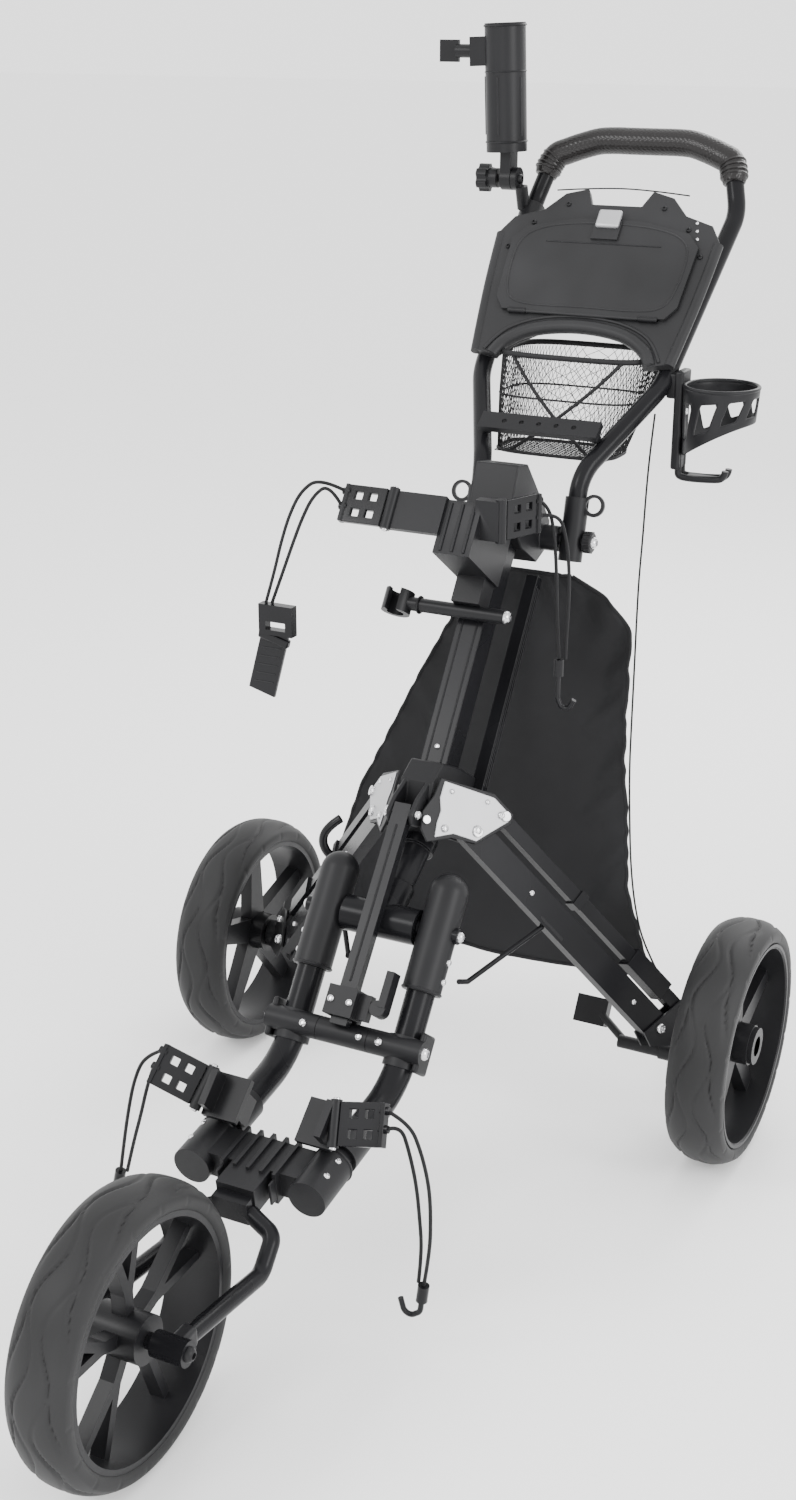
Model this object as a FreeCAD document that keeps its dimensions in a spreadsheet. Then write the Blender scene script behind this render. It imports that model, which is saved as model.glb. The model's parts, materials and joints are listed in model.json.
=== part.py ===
import FreeCAD, Part

import math
import os

import Sketcher
from FreeCAD import Placement, Rotation, Vector

# A three-wheel folding golf push cart. Millimetres, +Z up, the front wheel towards -Y.
# The origin lies on the ground under the middle of the cart's overall box.
# Sizes are driven by the spreadsheet; places are worked out from them in the layout section.

SIZES = {
    # wheels and running gear
    "wheel_radius": 146.0,
    "wheel_width": 67.0,
    "tyre_thickness": 24.0,
    "tyre_shoulder": 9.5,
    "rim_wall": 6.0,
    "hub_radius": 24.0,
    "spoke_width": 26.0,
    "axle_radius": 8.0,
    "running_gap": 0.05,
    "side_gap": 0.8,
    "track": 651.0,
    "wheelbase": 775.0,
    # main rail and gusset
    "rail_width": 32.0,
    "rail_depth": 36.0,
    "rail_wall": 2.5,
    "rail_length": 330.0,
    "rail_lean": 34.2,
    "rear_bar_width": 15.0,
    "rear_bar_setback": 72.0,
    "plate_thickness": 3.0,
    "cover_thickness": 1.5,
    "gusset_core_width": 40.0,
    # front frame
    "fold_axle_ahead": 258.0,
    "fold_axle_height": 342.0,
    "fold_pin_radius": 9.0,
    "barrel_radius": 20.0,
    "front_tube_radius": 16.0,
    "front_tube_wall": 1.8,
    "front_tube_spread": 67.0,
    "tee_wall": 5.5,
    "crossbar_radius": 13.5,
    "crossbar_half": 94.0,
    "fork_tube_radius": 9.0,
    # brace
    "brace_width": 20.0,
    "brace_depth": 12.0,
    # rear legs
    "leg_width": 34.0,
    "leg_thickness": 14.0,
    "rod_width": 16.0,
    "pivot_pin_radius": 4.0,
    # handle
    "handle_tube_radius": 11.0,
    "handle_tube_wall": 1.6,
    "handle_half_width": 134.0,
    "handle_height": 1108.0,
    "grip_radius": 17.0,
    "sleeve_wall": 3.0,
    # console
    "console_length": 172.0,
    "console_half_bottom": 128.0,
    "console_half_top": 142.0,
    "console_thickness": 12.0,
    "lid_thickness": 4.0,
    # holders
    "umbrella_bore_radius": 20.5,
    "umbrella_wall": 5.0,
    "umbrella_length": 150.0,
    "bottle_radius": 42.0,
    "bottle_band_height": 52.0,
    # soft goods and cords
    "sheet_thickness": 4.0,
    "bungee_radius": 2.0,
    "elastic_radius": 1.2,
}


class Size:
    """A dimension that knows its value and the spreadsheet formula it comes from."""

    def __init__(self, formula, value):
        self.formula = formula
        self.value = value

    def _join(self, sign, other, value):
        text = other.formula if isinstance(other, Size) else repr(float(other))
        return Size("(%s %s %s)" % (self.formula, sign, text), value)

    def __float__(self):
        return float(self.value)

    def __neg__(self):
        return Size("(0 - %s)" % self.formula, -self.value)

    def __add__(self, other):
        return self._join("+", other, self.value + float(other))

    def __sub__(self, other):
        return self._join("-", other, self.value - float(other))

    def __mul__(self, other):
        return self._join("*", other, self.value * float(other))

    def __truediv__(self, other):
        return self._join("/", other, self.value / float(other))


class SizeBook:
    """The driving sizes, each one a named cell of the spreadsheet."""

    def __init__(self, sheet, table):
        for row, (name, value) in enumerate(table.items(), start=1):
            sheet.set("A%d" % row, name)
            sheet.set("B%d" % row, repr(value))
            sheet.setAlias("B%d" % row, name)
            setattr(self, name, Size("Sizes." + name, value))


doc = FreeCAD.newDocument("push_cart")
sheet = doc.addObject("Spreadsheet::Sheet", "Sizes")
size = SizeBook(sheet, SIZES)
doc.recompute()

NODES = []


# ---------------------------------------------------------------- helpers

def mm(value):
    """The number of millimetres of a Size or of a plain number."""
    return float(value)


def node(label, thing):
    """Name an object as one of the cart's sub-parts."""
    thing.Label = label
    NODES.append(thing)
    return thing


def bind(thing, **sizes):
    """Tie properties to the spreadsheet."""
    for name, value in sizes.items():
        if isinstance(value, Size):
            thing.setExpression(name, value.formula)
        setattr(thing, name, mm(value))
    return thing


def place(origin, along=Vector(0, 0, 1), across=Vector(1, 0, 0)):
    """A placement whose local Z runs along one direction and local X nearest to another."""
    return Placement(origin, Rotation(across, Vector(), along, "ZXY"))


def box(name, length, width, height, placement, centred=True):
    """A block, centred on local X and Y, standing on local Z = 0."""
    block = bind(doc.addObject("Part::Box", name), Length=length, Width=width, Height=height)
    offset = Vector(-mm(length) / 2, -mm(width) / 2, 0) if centred else Vector()
    block.Placement = placement.multiply(Placement(offset, Rotation()))
    return block


def cylinder(name, radius, height, placement):
    """A round bar from local Z = 0 up to its height."""
    bar = bind(doc.addObject("Part::Cylinder", name), Radius=radius, Height=height)
    bar.Placement = placement
    return bar


def between(name, radius, start, end):
    """A round bar from one point to another."""
    run = end - start
    across = Vector(1, 0, 0) if abs(run.x) < 0.9 * run.Length else Vector(0, 1, 0)
    return cylinder(name, radius, run.Length, place(start, run, across))


def fuse(name, *things):
    joined = doc.addObject("Part::MultiFuse", name)
    joined.Shapes = list(things)
    return joined


def cut(name, base, tool):
    result = doc.addObject("Part::Cut", name)
    result.Base = base
    result.Tool = tool
    return result


def group(name, *things):
    """Several separate solids that share one node."""
    result = doc.addObject("Part::Compound", name)
    result.Links = list(things)
    return result


def mirror(name, thing):
    """The left-hand copy of a right-hand piece."""
    copy = doc.addObject("Part::Mirroring", name)
    copy.Source = thing
    copy.Base = Vector()
    copy.Normal = Vector(1, 0, 0)
    return copy


def feature(name, shape):
    """A piece whose shape no standard feature gives."""
    thing = doc.addObject("Part::Feature", name)
    thing.Shape = shape
    return thing


def plane_of(body, role):
    return next(p for p in body.Origin.OriginFeatures if p.Role == role)


def pin_coordinate(sketch, index, axis, value):
    """Hold one coordinate of a line's start point to a size."""
    if abs(mm(value)) < 1e-9:
        sketch.addConstraint(Sketcher.Constraint("PointOnObject", index, 1, -2 if axis == "X" else -1))
        return
    ends = (-1, 1, index, 1) if mm(value) > 0 else (index, 1, -1, 1)
    held = value if mm(value) > 0 else -value
    number = sketch.addConstraint(Sketcher.Constraint("Distance" + axis, *ends, mm(held)))
    if isinstance(held, Size):
        sketch.setExpression("Constraints[%d]" % number, held.formula)


def outline(body, name, corners, role="XY_Plane"):
    """A closed sketch of straight sides through the given corners."""
    sketch = body.newObject("Sketcher::SketchObject", name)
    sketch.AttachmentSupport = [(plane_of(body, role), "")]
    sketch.MapMode = "FlatFace"
    points = [Vector(mm(x), mm(y), 0) for x, y in corners]
    for index, start in enumerate(points):
        sketch.addGeometry(Part.LineSegment(start, points[(index + 1) % len(points)]))
    for index in range(len(points)):
        after = (index + 1) % len(points)
        sketch.addConstraint(Sketcher.Constraint("Coincident", index, 2, after, 1))
    for index, (x, y) in enumerate(corners):
        pin_coordinate(sketch, index, "X", x)
        pin_coordinate(sketch, index, "Y", y)
    return sketch


def new_body(name, placement):
    body = doc.addObject("PartDesign::Body", name)
    body.Placement = placement
    return body


def pad(body, sketch, length, midplane=False):
    solid = body.newObject("PartDesign::Pad", sketch.Name + "_pad")
    solid.Profile = sketch
    bind(solid, Length=length)
    if midplane:
        solid.SideType = "Symmetric"
    return solid


def pocket_through(body, sketch):
    """Cut a sketch right through, both ways."""
    hole = body.newObject("PartDesign::Pocket", sketch.Name + "_pocket")
    hole.Profile = sketch
    hole.Type = "ThroughAll"
    hole.SideType = "Symmetric"
    return hole


def revolve(body, sketch, axis="V_Axis"):
    solid = body.newObject("PartDesign::Revolution", sketch.Name + "_turn")
    solid.Profile = sketch
    solid.ReferenceAxis = (sketch, [axis])
    solid.Angle = 360.0
    return solid


def prism(name, corners, thickness, placement):
    """A flat plate of the given outline, as its own PartDesign body, grown both ways from its plane."""
    body = new_body(name, placement)
    pad(body, outline(body, name + "_outline", corners), thickness, midplane=True)
    return body


def rounded_path(points, radii):
    """Straight runs through the points, joined by tangent arcs of the given radii."""
    edges = []
    start = points[0]
    for index in range(1, len(points) - 1):
        corner = points[index]
        into = (corner - points[index - 1]).normalize()
        out = (points[index + 1] - corner).normalize()
        turn = into.getAngle(out)
        back = radii[index - 1] * math.tan(turn / 2)
        first = corner - into * back
        last = corner + out * back
        inward = (out - into).normalize()
        middle = corner + inward * radii[index - 1] * (1 / math.cos(turn / 2) - 1)
        edges.append(Part.LineSegment(start, first).toShape())
        edges.append(Part.Arc(first, middle, last).toShape())
        start = last
    edges.append(Part.LineSegment(start, points[-1]).toShape())
    return Part.Wire(edges)


def swept(path, radius):
    """A round bar along a path."""
    start = path.Edges[0]
    direction = start.tangentAt(start.FirstParameter)
    circle = Part.Wire(Part.makeCircle(radius, start.valueAt(start.FirstParameter), direction))
    return path.makePipeShell([circle], True, False)


def bent_tube(name, points, radii, radius, wall=None):
    """A bent round tube, hollow where a wall is given."""
    path = rounded_path(points, radii)
    shape = swept(path, mm(radius))
    if wall is not None:
        shape = shape.cut(swept(path, mm(radius) - mm(wall)))
    return feature(name, shape)


def cord_radii(points):
    """Bend radii of a limp cord, as large as its runs allow."""
    radii = []
    for before, corner, after in zip(points, points[1:], points[2:]):
        turn = (corner - before).getAngle(after - corner)
        shorter = min((corner - before).Length, (after - corner).Length)
        radii.append(0.45 * shorter / math.tan(turn / 2))
    return radii


def cord(name, points, radius):
    """A free cord: a round bar along its route."""
    radii = cord_radii(points)
    path = rounded_path(points, radii)
    shape = swept(path, mm(radius))
    expected = math.pi * mm(radius) ** 2 * path.Length
    print("%s: length %.0f, radii %s, volume over section times length %.4f"
          % (name, path.Length, " ".join("%.0f" % r for r in radii), shape.Volume / expected))
    return feature(name, shape)


# ---------------------------------------------------------------- layout

# How far the overall box's middle lies ahead of the rear axle.
HANDLE_REACH = 460.0
FRONT_REACH = mm(size.wheelbase + size.wheel_radius)
BACK_REACH = HANDLE_REACH + mm(size.grip_radius)
SHIFT = (FRONT_REACH - BACK_REACH) / 2


def at(x, y, z):
    """A point given by its distance right of the middle, behind the rear axle and above the ground."""
    return Vector(x, y + SHIFT, z)


def flipped(point):
    """The mirror image of a point on the other side of the cart."""
    return Vector(-point.x, point.y, point.z)


RIGHT = Vector(1, 0, 0)
UP = Vector(0, 0, 1)

LEAN = math.radians(mm(size.rail_lean))
RAIL = Vector(0, math.sin(LEAN), math.cos(LEAN))
RAIL_BACK = Vector(0, math.cos(LEAN), -math.sin(LEAN))
RAIL_FOOT = at(0, -126, 465)

FOLD_AXLE = at(0, -mm(size.fold_axle_ahead), mm(size.fold_axle_height))
FRONT_DOWN = Vector(0, -0.597, -0.802).normalize()
FRONT_AHEAD = Vector(0, -0.989, -0.148).normalize()
FRONT_OUT = Vector(0, FRONT_DOWN.z, -FRONT_DOWN.y)
CROSSBAR = FOLD_AXLE + FRONT_DOWN * 132 + FRONT_OUT * 12
NOSE_PIN = at(0, -210, 452)

FRONT_AXLE = at(0, -mm(size.wheelbase), mm(size.wheel_radius))
REAR_AXLE = at(mm(size.track) / 2, 0, mm(size.wheel_radius))

LEG_TOP = at(56, -150, 416)
LEG_FOOT = REAR_AXLE + Vector(-78.5, -44, 18)
LEG = (LEG_FOOT - LEG_TOP).normalize()
LEG_LENGTH = (LEG_FOOT - LEG_TOP).Length
LEG_AXIS = LEG.cross(FRONT_DOWN).normalize()
LEG_OUT = LEG_AXIS * -1
LEG_SIDE = LEG_OUT.cross(LEG).normalize()
PLATE_FLAT = UP.cross(LEG_OUT).normalize()
ROD_STEP = Vector(18, 35, 9)
ROD_STEP = ROD_STEP - LEG_OUT * ROD_STEP.dot(LEG_OUT)
ROD_TOP = LEG_TOP + ROD_STEP
ROD_FOOT = LEG_FOOT + ROD_STEP

HANDLE_PIVOT = at(0, 104, 690)
CONSOLE_FOOT = at(0, 240, 862)
CONSOLE_UP = Vector(0, 0.646, 0.763).normalize()
CONSOLE_OUT = Vector(0, -0.763, 0.646).normalize()

# The brace runs from the nose pin past the front of the crossbar, a set distance off its axis.
BRACE_SETOFF = mm(size.crossbar_radius + size.brace_depth / 2) + 1.0
NOSE_TO_BAR = CROSSBAR - NOSE_PIN
BRACE_TILT = math.asin(BRACE_SETOFF / NOSE_TO_BAR.Length)
BRACE = Rotation(RIGHT, -math.degrees(BRACE_TILT)).multVec(NOSE_TO_BAR).normalize()
BRACE_OUT = Vector(0, BRACE.z, -BRACE.y)
BRACE_TO_BAR = NOSE_TO_BAR.Length * math.cos(BRACE_TILT)

# The cradle stands on the front of the rail, near its top.
CRADLE_AT = 253.0
CRADLE_REACH = 116.0


def on_rail(x, along, ahead):
    """A point beside the rail: across, up along it, and ahead of its middle line."""
    return RAIL_FOOT + RIGHT * x + RAIL * along - RAIL_BACK * ahead


# ---------------------------------------------------------------- wheels

def wheel_place(centre):
    return place(centre, RIGHT, UP)


def tyre(label, centre):
    """Foam tyre: a thick band with sloping shoulders."""
    body = new_body(label, wheel_place(centre))
    seat = size.wheel_radius - size.tyre_thickness
    half = size.wheel_width / 2
    shoulder = size.wheel_radius - size.tyre_shoulder
    crown = half / 3
    corners = [
        (seat, -(half - 3)), (seat + 3, -half), (shoulder - 4, -half), (shoulder + 5, -(half - 11)),
        (size.wheel_radius, -crown), (size.wheel_radius, crown),
        (shoulder + 5, half - 11), (shoulder - 4, half), (seat + 3, half), (seat, half - 3),
    ]
    revolve(body, outline(body, label + "_section", corners, "XZ_Plane"))
    return node(label, body)


def rim(label, centre, spoke, capped):
    """Moulded rim: barrel, hub with its axle bore, and five spokes."""
    body = new_body(label, wheel_place(centre))
    outside = size.wheel_radius - size.tyre_thickness
    inside = outside - size.rim_wall
    half = size.wheel_width / 2 - 3
    barrel = [(inside, -half), (outside, -half), (outside, half), (inside, half)]
    revolve(body, outline(body, label + "_barrel", barrel, "XZ_Plane"))
    bore = size.axle_radius + size.running_gap
    hub_half = size.wheel_width / 2 - 7
    hub = [(bore, -hub_half), (size.hub_radius, -hub_half), (size.hub_radius, hub_half), (bore, hub_half)]
    revolve(body, outline(body, label + "_hub", hub, "XZ_Plane"))
    arm = pad(body, outline(body, label + "_spoke", spoke(inside)), 16.0, midplane=True)
    pattern = body.newObject("PartDesign::PolarPattern", label + "_spokes")
    pattern.Originals = [arm]
    pattern.Axis = (next(a for a in body.Origin.OriginFeatures if a.Role == "Z_Axis"), [""])
    pattern.Angle = 360.0
    pattern.Occurrences = 5
    body.Tip = pattern
    if not capped:
        return node(label, body)
    lid = cylinder(label + "_cap", size.hub_radius - 2, 7.0, wheel_place(centre + RIGHT * (mm(hub_half) - 1)))
    body.Label = label + "_body"
    return node(label, fuse(label + "_with_cap", body, lid))


def wide_spoke(inside):
    """A tapered spoke of the rear rims."""
    root = size.hub_radius - 3
    half = size.spoke_width / 2
    return [(root, -half - 3), (inside + 1, -half + 3), (inside + 1, half - 3), (root, half + 3)]


def split_spoke(inside):
    """A forked spoke of the front rim."""
    root = size.hub_radius - 3
    fork = root + 24
    half = size.spoke_width / 2
    return [
        (root, -half / 2), (fork, -half / 2), (inside + 1, -half * 2.1), (inside + 1, -half * 1.4),
        (fork + 14, 0.0), (inside + 1, half * 1.4), (inside + 1, half * 2.1),
        (fork, half / 2), (root, half / 2),
    ]


# ---------------------------------------------------------------- main rail and gusset

def rail_section(width, depth, wall=None):
    """Corners of a rectangle, or of the hollow inside a wall."""
    half_width = width / 2 - (wall or 0)
    half_depth = depth / 2 - (wall or 0)
    return [(-half_width, -half_depth), (half_width, -half_depth), (half_width, half_depth), (-half_width, half_depth)]


def main_rail():
    """Hollow extrusion that carries the bag."""
    body = new_body("main_rail", place(RAIL_FOOT, RAIL, RIGHT))
    pad(body, outline(body, "rail_outside", rail_section(size.rail_width, size.rail_depth)), size.rail_length)
    hollow = outline(body, "rail_hollow", rail_section(size.rail_width, size.rail_depth, size.rail_wall))
    pocket_through(body, hollow)
    return node("main_rail", body)


def rear_bars():
    """Two slim bars behind the rail, from the gusset to the handle hinge."""
    across = mm(size.rail_width) / 2 + 8
    start = RAIL_FOOT + RAIL_BACK * mm(size.rear_bar_setback) + RAIL * 2
    right = box("rear_bar_right", size.rear_bar_width, size.rear_bar_width, size.rail_length - 64,
                place(start + RIGHT * across, RAIL, RIGHT))
    return node("rear_bars", group("rear_bar_pair", right, mirror("rear_bar_left", right)))


def gusset_core(plates):
    """Middle block of the gusset, with the cheeks that hold the brace, pocketed for the leg plates."""
    side = place(Vector(0, 0, 0), RIGHT, Vector(0, 1, 0))
    corners = [
        (at(0, -186, 438)), (at(0, -176, 478)), (at(0, -150, 492)), (at(0, -104, 470)),
        (at(0, -56, 440)), (at(0, -62, 418)), (at(0, -120, 396)), (at(0, -172, 402)),
    ]
    block = prism("core_block", [(p.y, p.z) for p in corners], size.gusset_core_width, side)
    cheek_corners = [
        (at(0, -180, 430)), (at(0, -176, 478)), (at(0, -204, 468)), (at(0, -221, 456)),
        (at(0, -219, 442)), (at(0, -204, 434)),
    ]
    cheek = prism("core_cheek", [(p.y, p.z) for p in cheek_corners], 5.0,
                  Placement(RIGHT * (mm(size.brace_width) / 2 + 3.5), side.Rotation))
    solid = fuse("core_solid", block, cheek, mirror("core_cheek_left", cheek))
    return node("gusset_core", cut("core", solid, plates))


def gusset_outline(grow):
    """Corners of a gusset plate, seen square on, around the leg pivot."""
    corners = [
        (-31, 67), (32, 37), (51, 10), (45, 0), (11, -9), (-3, -13), (-31, 0), (-64, 2), (-68, 18), (-62, 36), (-44, 50),
    ]
    return [(x * grow, y * grow) for x, y in corners]


def plate_place(offset):
    return place(LEG_TOP + LEG_OUT * offset, LEG_OUT, PLATE_FLAT)


LEG_CLEAR = mm(size.leg_thickness) / 2 + mm(size.side_gap)


def gusset_plates():
    """Outer and inner plates that hold the rear legs, on both sides."""
    offset = LEG_CLEAR + mm(size.plate_thickness) / 2
    outer = prism("plate_outer", gusset_outline(1.0), size.plate_thickness, plate_place(offset))
    inner_corners = [(-26, 40), (20, 34), (50, 10), (44, -2), (-3, -14), (-26, -2)]
    inner = prism("plate_inner", inner_corners, size.plate_thickness, plate_place(-offset))
    return node("gusset_plates", group("plate_set", outer, inner, mirror("plate_outer_left", outer),
                                       mirror("plate_inner_left", inner)))


def gusset_covers():
    """Bright cover plates on the outside of the gusset."""
    corners = [
        (-28, 63), (30, 33), (47, 9), (42, 3), (10, -6), (-3, -10), (-30, 4), (-54, 5), (-48, 20), (-40, 32), (-38, 46),
    ]
    offset = LEG_CLEAR + mm(size.plate_thickness + size.cover_thickness / 2)
    cover = prism("cover", corners, size.cover_thickness, plate_place(offset))
    return node("gusset_covers", group("cover_pair", cover, mirror("cover_left", cover)))


def bolt(name, point, inwards, outwards):
    """A pivot bolt with its dome head, square to the gusset plate."""
    shank = between(name, size.pivot_pin_radius, point - LEG_OUT * inwards, point + LEG_OUT * outwards)
    head = cylinder(name + "_head", size.pivot_pin_radius + 2, 3.0, place(point + LEG_OUT * outwards, LEG_OUT, UP))
    return [shank, head]


def gusset_bolts():
    """Pivot bolts of the legs and rods, the nose bolts and the brace pin."""
    reach = LEG_CLEAR + mm(size.plate_thickness)
    outwards = reach + mm(size.cover_thickness)
    nose = place(LEG_TOP + LEG_OUT * (LEG_CLEAR + mm(size.plate_thickness)) + PLATE_FLAT * -60
                 + LEG_OUT.cross(PLATE_FLAT) * 26, LEG_OUT, UP)
    parts = bolt("leg_bolt", LEG_TOP, reach, outwards) + bolt("rod_bolt", ROD_TOP, reach, outwards)
    leg_bolt = fuse("leg_bolt_whole", *parts[:2])
    rod_bolt = fuse("rod_bolt_whole", *parts[2:])
    nose_bolt = cylinder("nose_bolt", size.pivot_pin_radius + 1, 3.0, nose)
    half = mm(size.brace_width) / 2 + 8
    brace_pin = between("brace_pin", size.pivot_pin_radius, NOSE_PIN - RIGHT * half, NOSE_PIN + RIGHT * half)
    right = [leg_bolt, rod_bolt, nose_bolt]
    left = [mirror(thing.Name + "_left", thing) for thing in right]
    return node("gusset_bolts", group("gusset_bolt_set", *right, *left, brace_pin))


def column():
    """Tube from the gusset down to the fold axle, with its collar, foot and trunnions."""
    head = at(0, -140, 418)
    down = (FOLD_AXLE - head).normalize()
    tube = between("column_tube", size.front_tube_radius, head, FOLD_AXLE)
    collar = between("column_collar", size.front_tube_radius + 4, head + down * 26, head + down * 44)
    foot_half = mm(size.front_tube_spread - size.front_tube_radius - size.tee_wall) - mm(size.side_gap)
    barrel = between("column_barrel", size.barrel_radius, FOLD_AXLE - RIGHT * foot_half, FOLD_AXLE + RIGHT * foot_half)
    sleeve = between("column_sleeve", size.front_tube_radius + 3, FOLD_AXLE - down * 46, FOLD_AXLE)
    reach = mm(size.front_tube_spread) + 26
    trunnion = between("column_trunnion", size.fold_pin_radius, FOLD_AXLE - RIGHT * reach, FOLD_AXLE + RIGHT * reach)
    return node("column", fuse("column_whole", tube, collar, sleeve, barrel, trunnion))


# ---------------------------------------------------------------- hinge block and upper cradle

def hinge_block():
    """Block on the rail's top that carries the handle's pivot."""
    side = place(Vector(0, 0, 0), RIGHT, Vector(0, 1, 0))
    corners = [
        at(0, 4, 738), at(0, 24, 790), at(0, 52, 786), at(0, 84, 750), at(0, 122, 706),
        at(0, 118, 676), at(0, 84, 664), at(0, 40, 690),
    ]
    block = prism("hinge_core", [(p.y, p.z) for p in corners], 52.0, side)
    half = sleeve_inner()
    boss = between("hinge_boss", 15.0, HANDLE_PIVOT - RIGHT * half, HANDLE_PIVOT + RIGHT * half)
    reach = sleeve_outer() + mm(size.side_gap)
    pin = between("pivot_shaft", 6.0, HANDLE_PIVOT - RIGHT * reach, HANDLE_PIVOT + RIGHT * reach)
    knob = between("pivot_knob", 12.0, HANDLE_PIVOT + RIGHT * reach, HANDLE_PIVOT + RIGHT * (reach + 11))
    return node("hinge_block", fuse("hinge_whole", block, boss, pin, knob, mirror("pivot_knob_left", knob)))


SLEEVE_X = 62.0


def sleeve_outer():
    return SLEEVE_X + mm(size.handle_tube_radius + size.sleeve_wall)


def sleeve_inner():
    return SLEEVE_X - mm(size.handle_tube_radius + size.sleeve_wall) - mm(size.side_gap)


def latch_rod():
    """The cradle's cross rod with an open clip at its left end."""
    ahead = mm(size.rail_depth) / 2 + 14
    low = CRADLE_AT - 68
    rod = between("latch_bar", 8.0, on_rail(-74, low, ahead), on_rail(46, low, ahead))
    clip = cylinder("latch_ring", 17.0, 26.0, place(on_rail(-88, low - 13, ahead), RAIL, RIGHT))
    hole = cylinder("latch_hole", 10.0, 28.0, place(on_rail(-88, low - 14, ahead), RAIL, RIGHT))
    mouth = box("latch_mouth", 14.0, 30.0, 28.0, place(on_rail(-88, low - 14, ahead + 15), RAIL, RIGHT))
    return cut("latch_whole", fuse("latch_solid", rod, clip), fuse("latch_open", hole, mouth))


UPPER_LEFT_HINGE = on_rail(-84, CRADLE_AT + 11, CRADLE_REACH + 4)
UPPER_RIGHT_HINGE = at(44, -62, 748)


def cradle_base():
    """U-shaped block of the upper bag cradle, its stem, the open left arm and the folded right arm."""
    ahead = mm(size.rail_depth) / 2
    low = on_rail(0, CRADLE_AT - 31, (CRADLE_REACH + ahead) / 2)
    outer = box("cradle_outer", 44.0, CRADLE_REACH - ahead, 62.0, place(low, RAIL, RIGHT))
    hollow = box("cradle_hollow", 34.0, CRADLE_REACH - ahead - 12, 60.0,
                 place(low + RAIL * 8, RAIL, RIGHT))
    stem = box("cradle_stem", 34.0, 30.0, 50.0, place(on_rail(0, CRADLE_AT - 62, ahead + 15), RAIL, RIGHT))
    left_arm = box("cradle_left_arm", 64.0, 8.0, 44.0, place(on_rail(-52, CRADLE_AT - 11, CRADLE_REACH), RAIL, RIGHT))
    left_eye = between("cradle_left_eye", 6.0, UPPER_LEFT_HINGE - RAIL * 24, UPPER_LEFT_HINGE + RAIL * 24)
    right_arm = box("cradle_right_arm", 28.0, 14.0, 44.0, place(UPPER_RIGHT_HINGE - RIGHT * 14 - UP * 22))
    right_eye = between("cradle_right_eye", 6.0, UPPER_RIGHT_HINGE - UP * 24, UPPER_RIGHT_HINGE + UP * 24)
    solid = fuse("cradle_solid", outer, stem, left_arm, left_eye, right_arm, right_eye)
    return node("cradle_base", fuse("cradle_whole", cut("cradle_open", solid, hollow), latch_rod()))


STRAP_LENGTH = 52.0
STRAP_START = 6 + mm(size.side_gap)


def strap(label, hinge, reach, upright):
    """Moulded strap with two rows of square holes, hinged on a pin at its root."""
    length = STRAP_LENGTH
    start = hinge + reach * STRAP_START
    plate = box(label + "_plate", 44.0, 6.0, length, place(start, reach, upright))
    holes = []
    for row in (-10, 10):
        for column_at in (16, 34):
            centre = start + reach * (column_at - 5) + upright * row
            holes.append(box("%s_hole_%d_%d" % (label, row + 10, column_at), 9.0, 8.0, 10.0,
                             place(centre, reach, upright)))
    lip = box(label + "_lip", 44.0, 10.0, 5.0, place(start + reach * (length - 5), reach, upright))
    solid = fuse(label + "_solid", plate, lip)
    return cut(label + "_whole", solid, fuse(label + "_holes", *holes))


# ---------------------------------------------------------------- front frame

def tee_end():
    return FOLD_AXLE + FRONT_DOWN * 68


def tee_fittings():
    """Fittings that turn on the column's trunnions and grip the front tubes."""
    side = RIGHT * mm(size.front_tube_spread)
    outer = size.front_tube_radius + size.tee_wall
    barrel = between("tee_barrel", outer, FOLD_AXLE + side - FRONT_DOWN * 44, tee_end() + side)
    dome = feature("tee_dome", Part.makeSphere(mm(outer), FOLD_AXLE + side - FRONT_DOWN * 44))
    socket = between("tee_socket", size.front_tube_radius, FOLD_AXLE + side + FRONT_DOWN * 16,
                     tee_end() + side + FRONT_DOWN)
    bore = between("tee_bore", size.fold_pin_radius + size.running_gap, FOLD_AXLE, FOLD_AXLE + side * 1.6)
    right = cut("tee_right", fuse("tee_solid", barrel, dome), fuse("tee_hollow", socket, bore))
    return node("tee_fittings", group("tee_pair", right, mirror("tee_left", right)))


FRONT_BEND = FOLD_AXLE + FRONT_DOWN * 170
TUBE_END = FRONT_BEND + FRONT_AHEAD * 190


def front_tubes():
    """Two bent tubes that carry the front wheel."""
    side = RIGHT * mm(size.front_tube_spread)
    points = [FOLD_AXLE + FRONT_DOWN * 18 + side, FRONT_BEND + side, TUBE_END + side]
    right = bent_tube("front_tube_right", points, [100.0], size.front_tube_radius, size.front_tube_wall)
    return node("front_tubes", group("front_tube_pair", right, mirror("front_tube_left", right)))


def crossbar():
    """Clamps on the two tubes, joined by the pin that the middle segment turns on."""
    side = RIGHT * mm(size.front_tube_spread)
    half = mm(size.crossbar_half)
    inner = 31.0
    barrel = between("crossbar_barrel", size.crossbar_radius, CROSSBAR + RIGHT * inner, CROSSBAR + RIGHT * half)
    on_tube = CROSSBAR - FRONT_OUT * 12 + side
    clamp = between("crossbar_clamp", size.front_tube_radius + 4, on_tube - FRONT_DOWN * 14, on_tube + FRONT_DOWN * 20)
    through = between("crossbar_through", size.front_tube_radius, on_tube - FRONT_DOWN * 16,
                      on_tube + FRONT_DOWN * 22)
    right = cut("crossbar_right", fuse("crossbar_solid", barrel, clamp), through)
    pin = between("crossbar_pin", 6.0, CROSSBAR - RIGHT * (inner + 8), CROSSBAR + RIGHT * (inner + 8))
    return node("crossbar", fuse("crossbar_whole", right, mirror("crossbar_left", right), pin))


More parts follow.
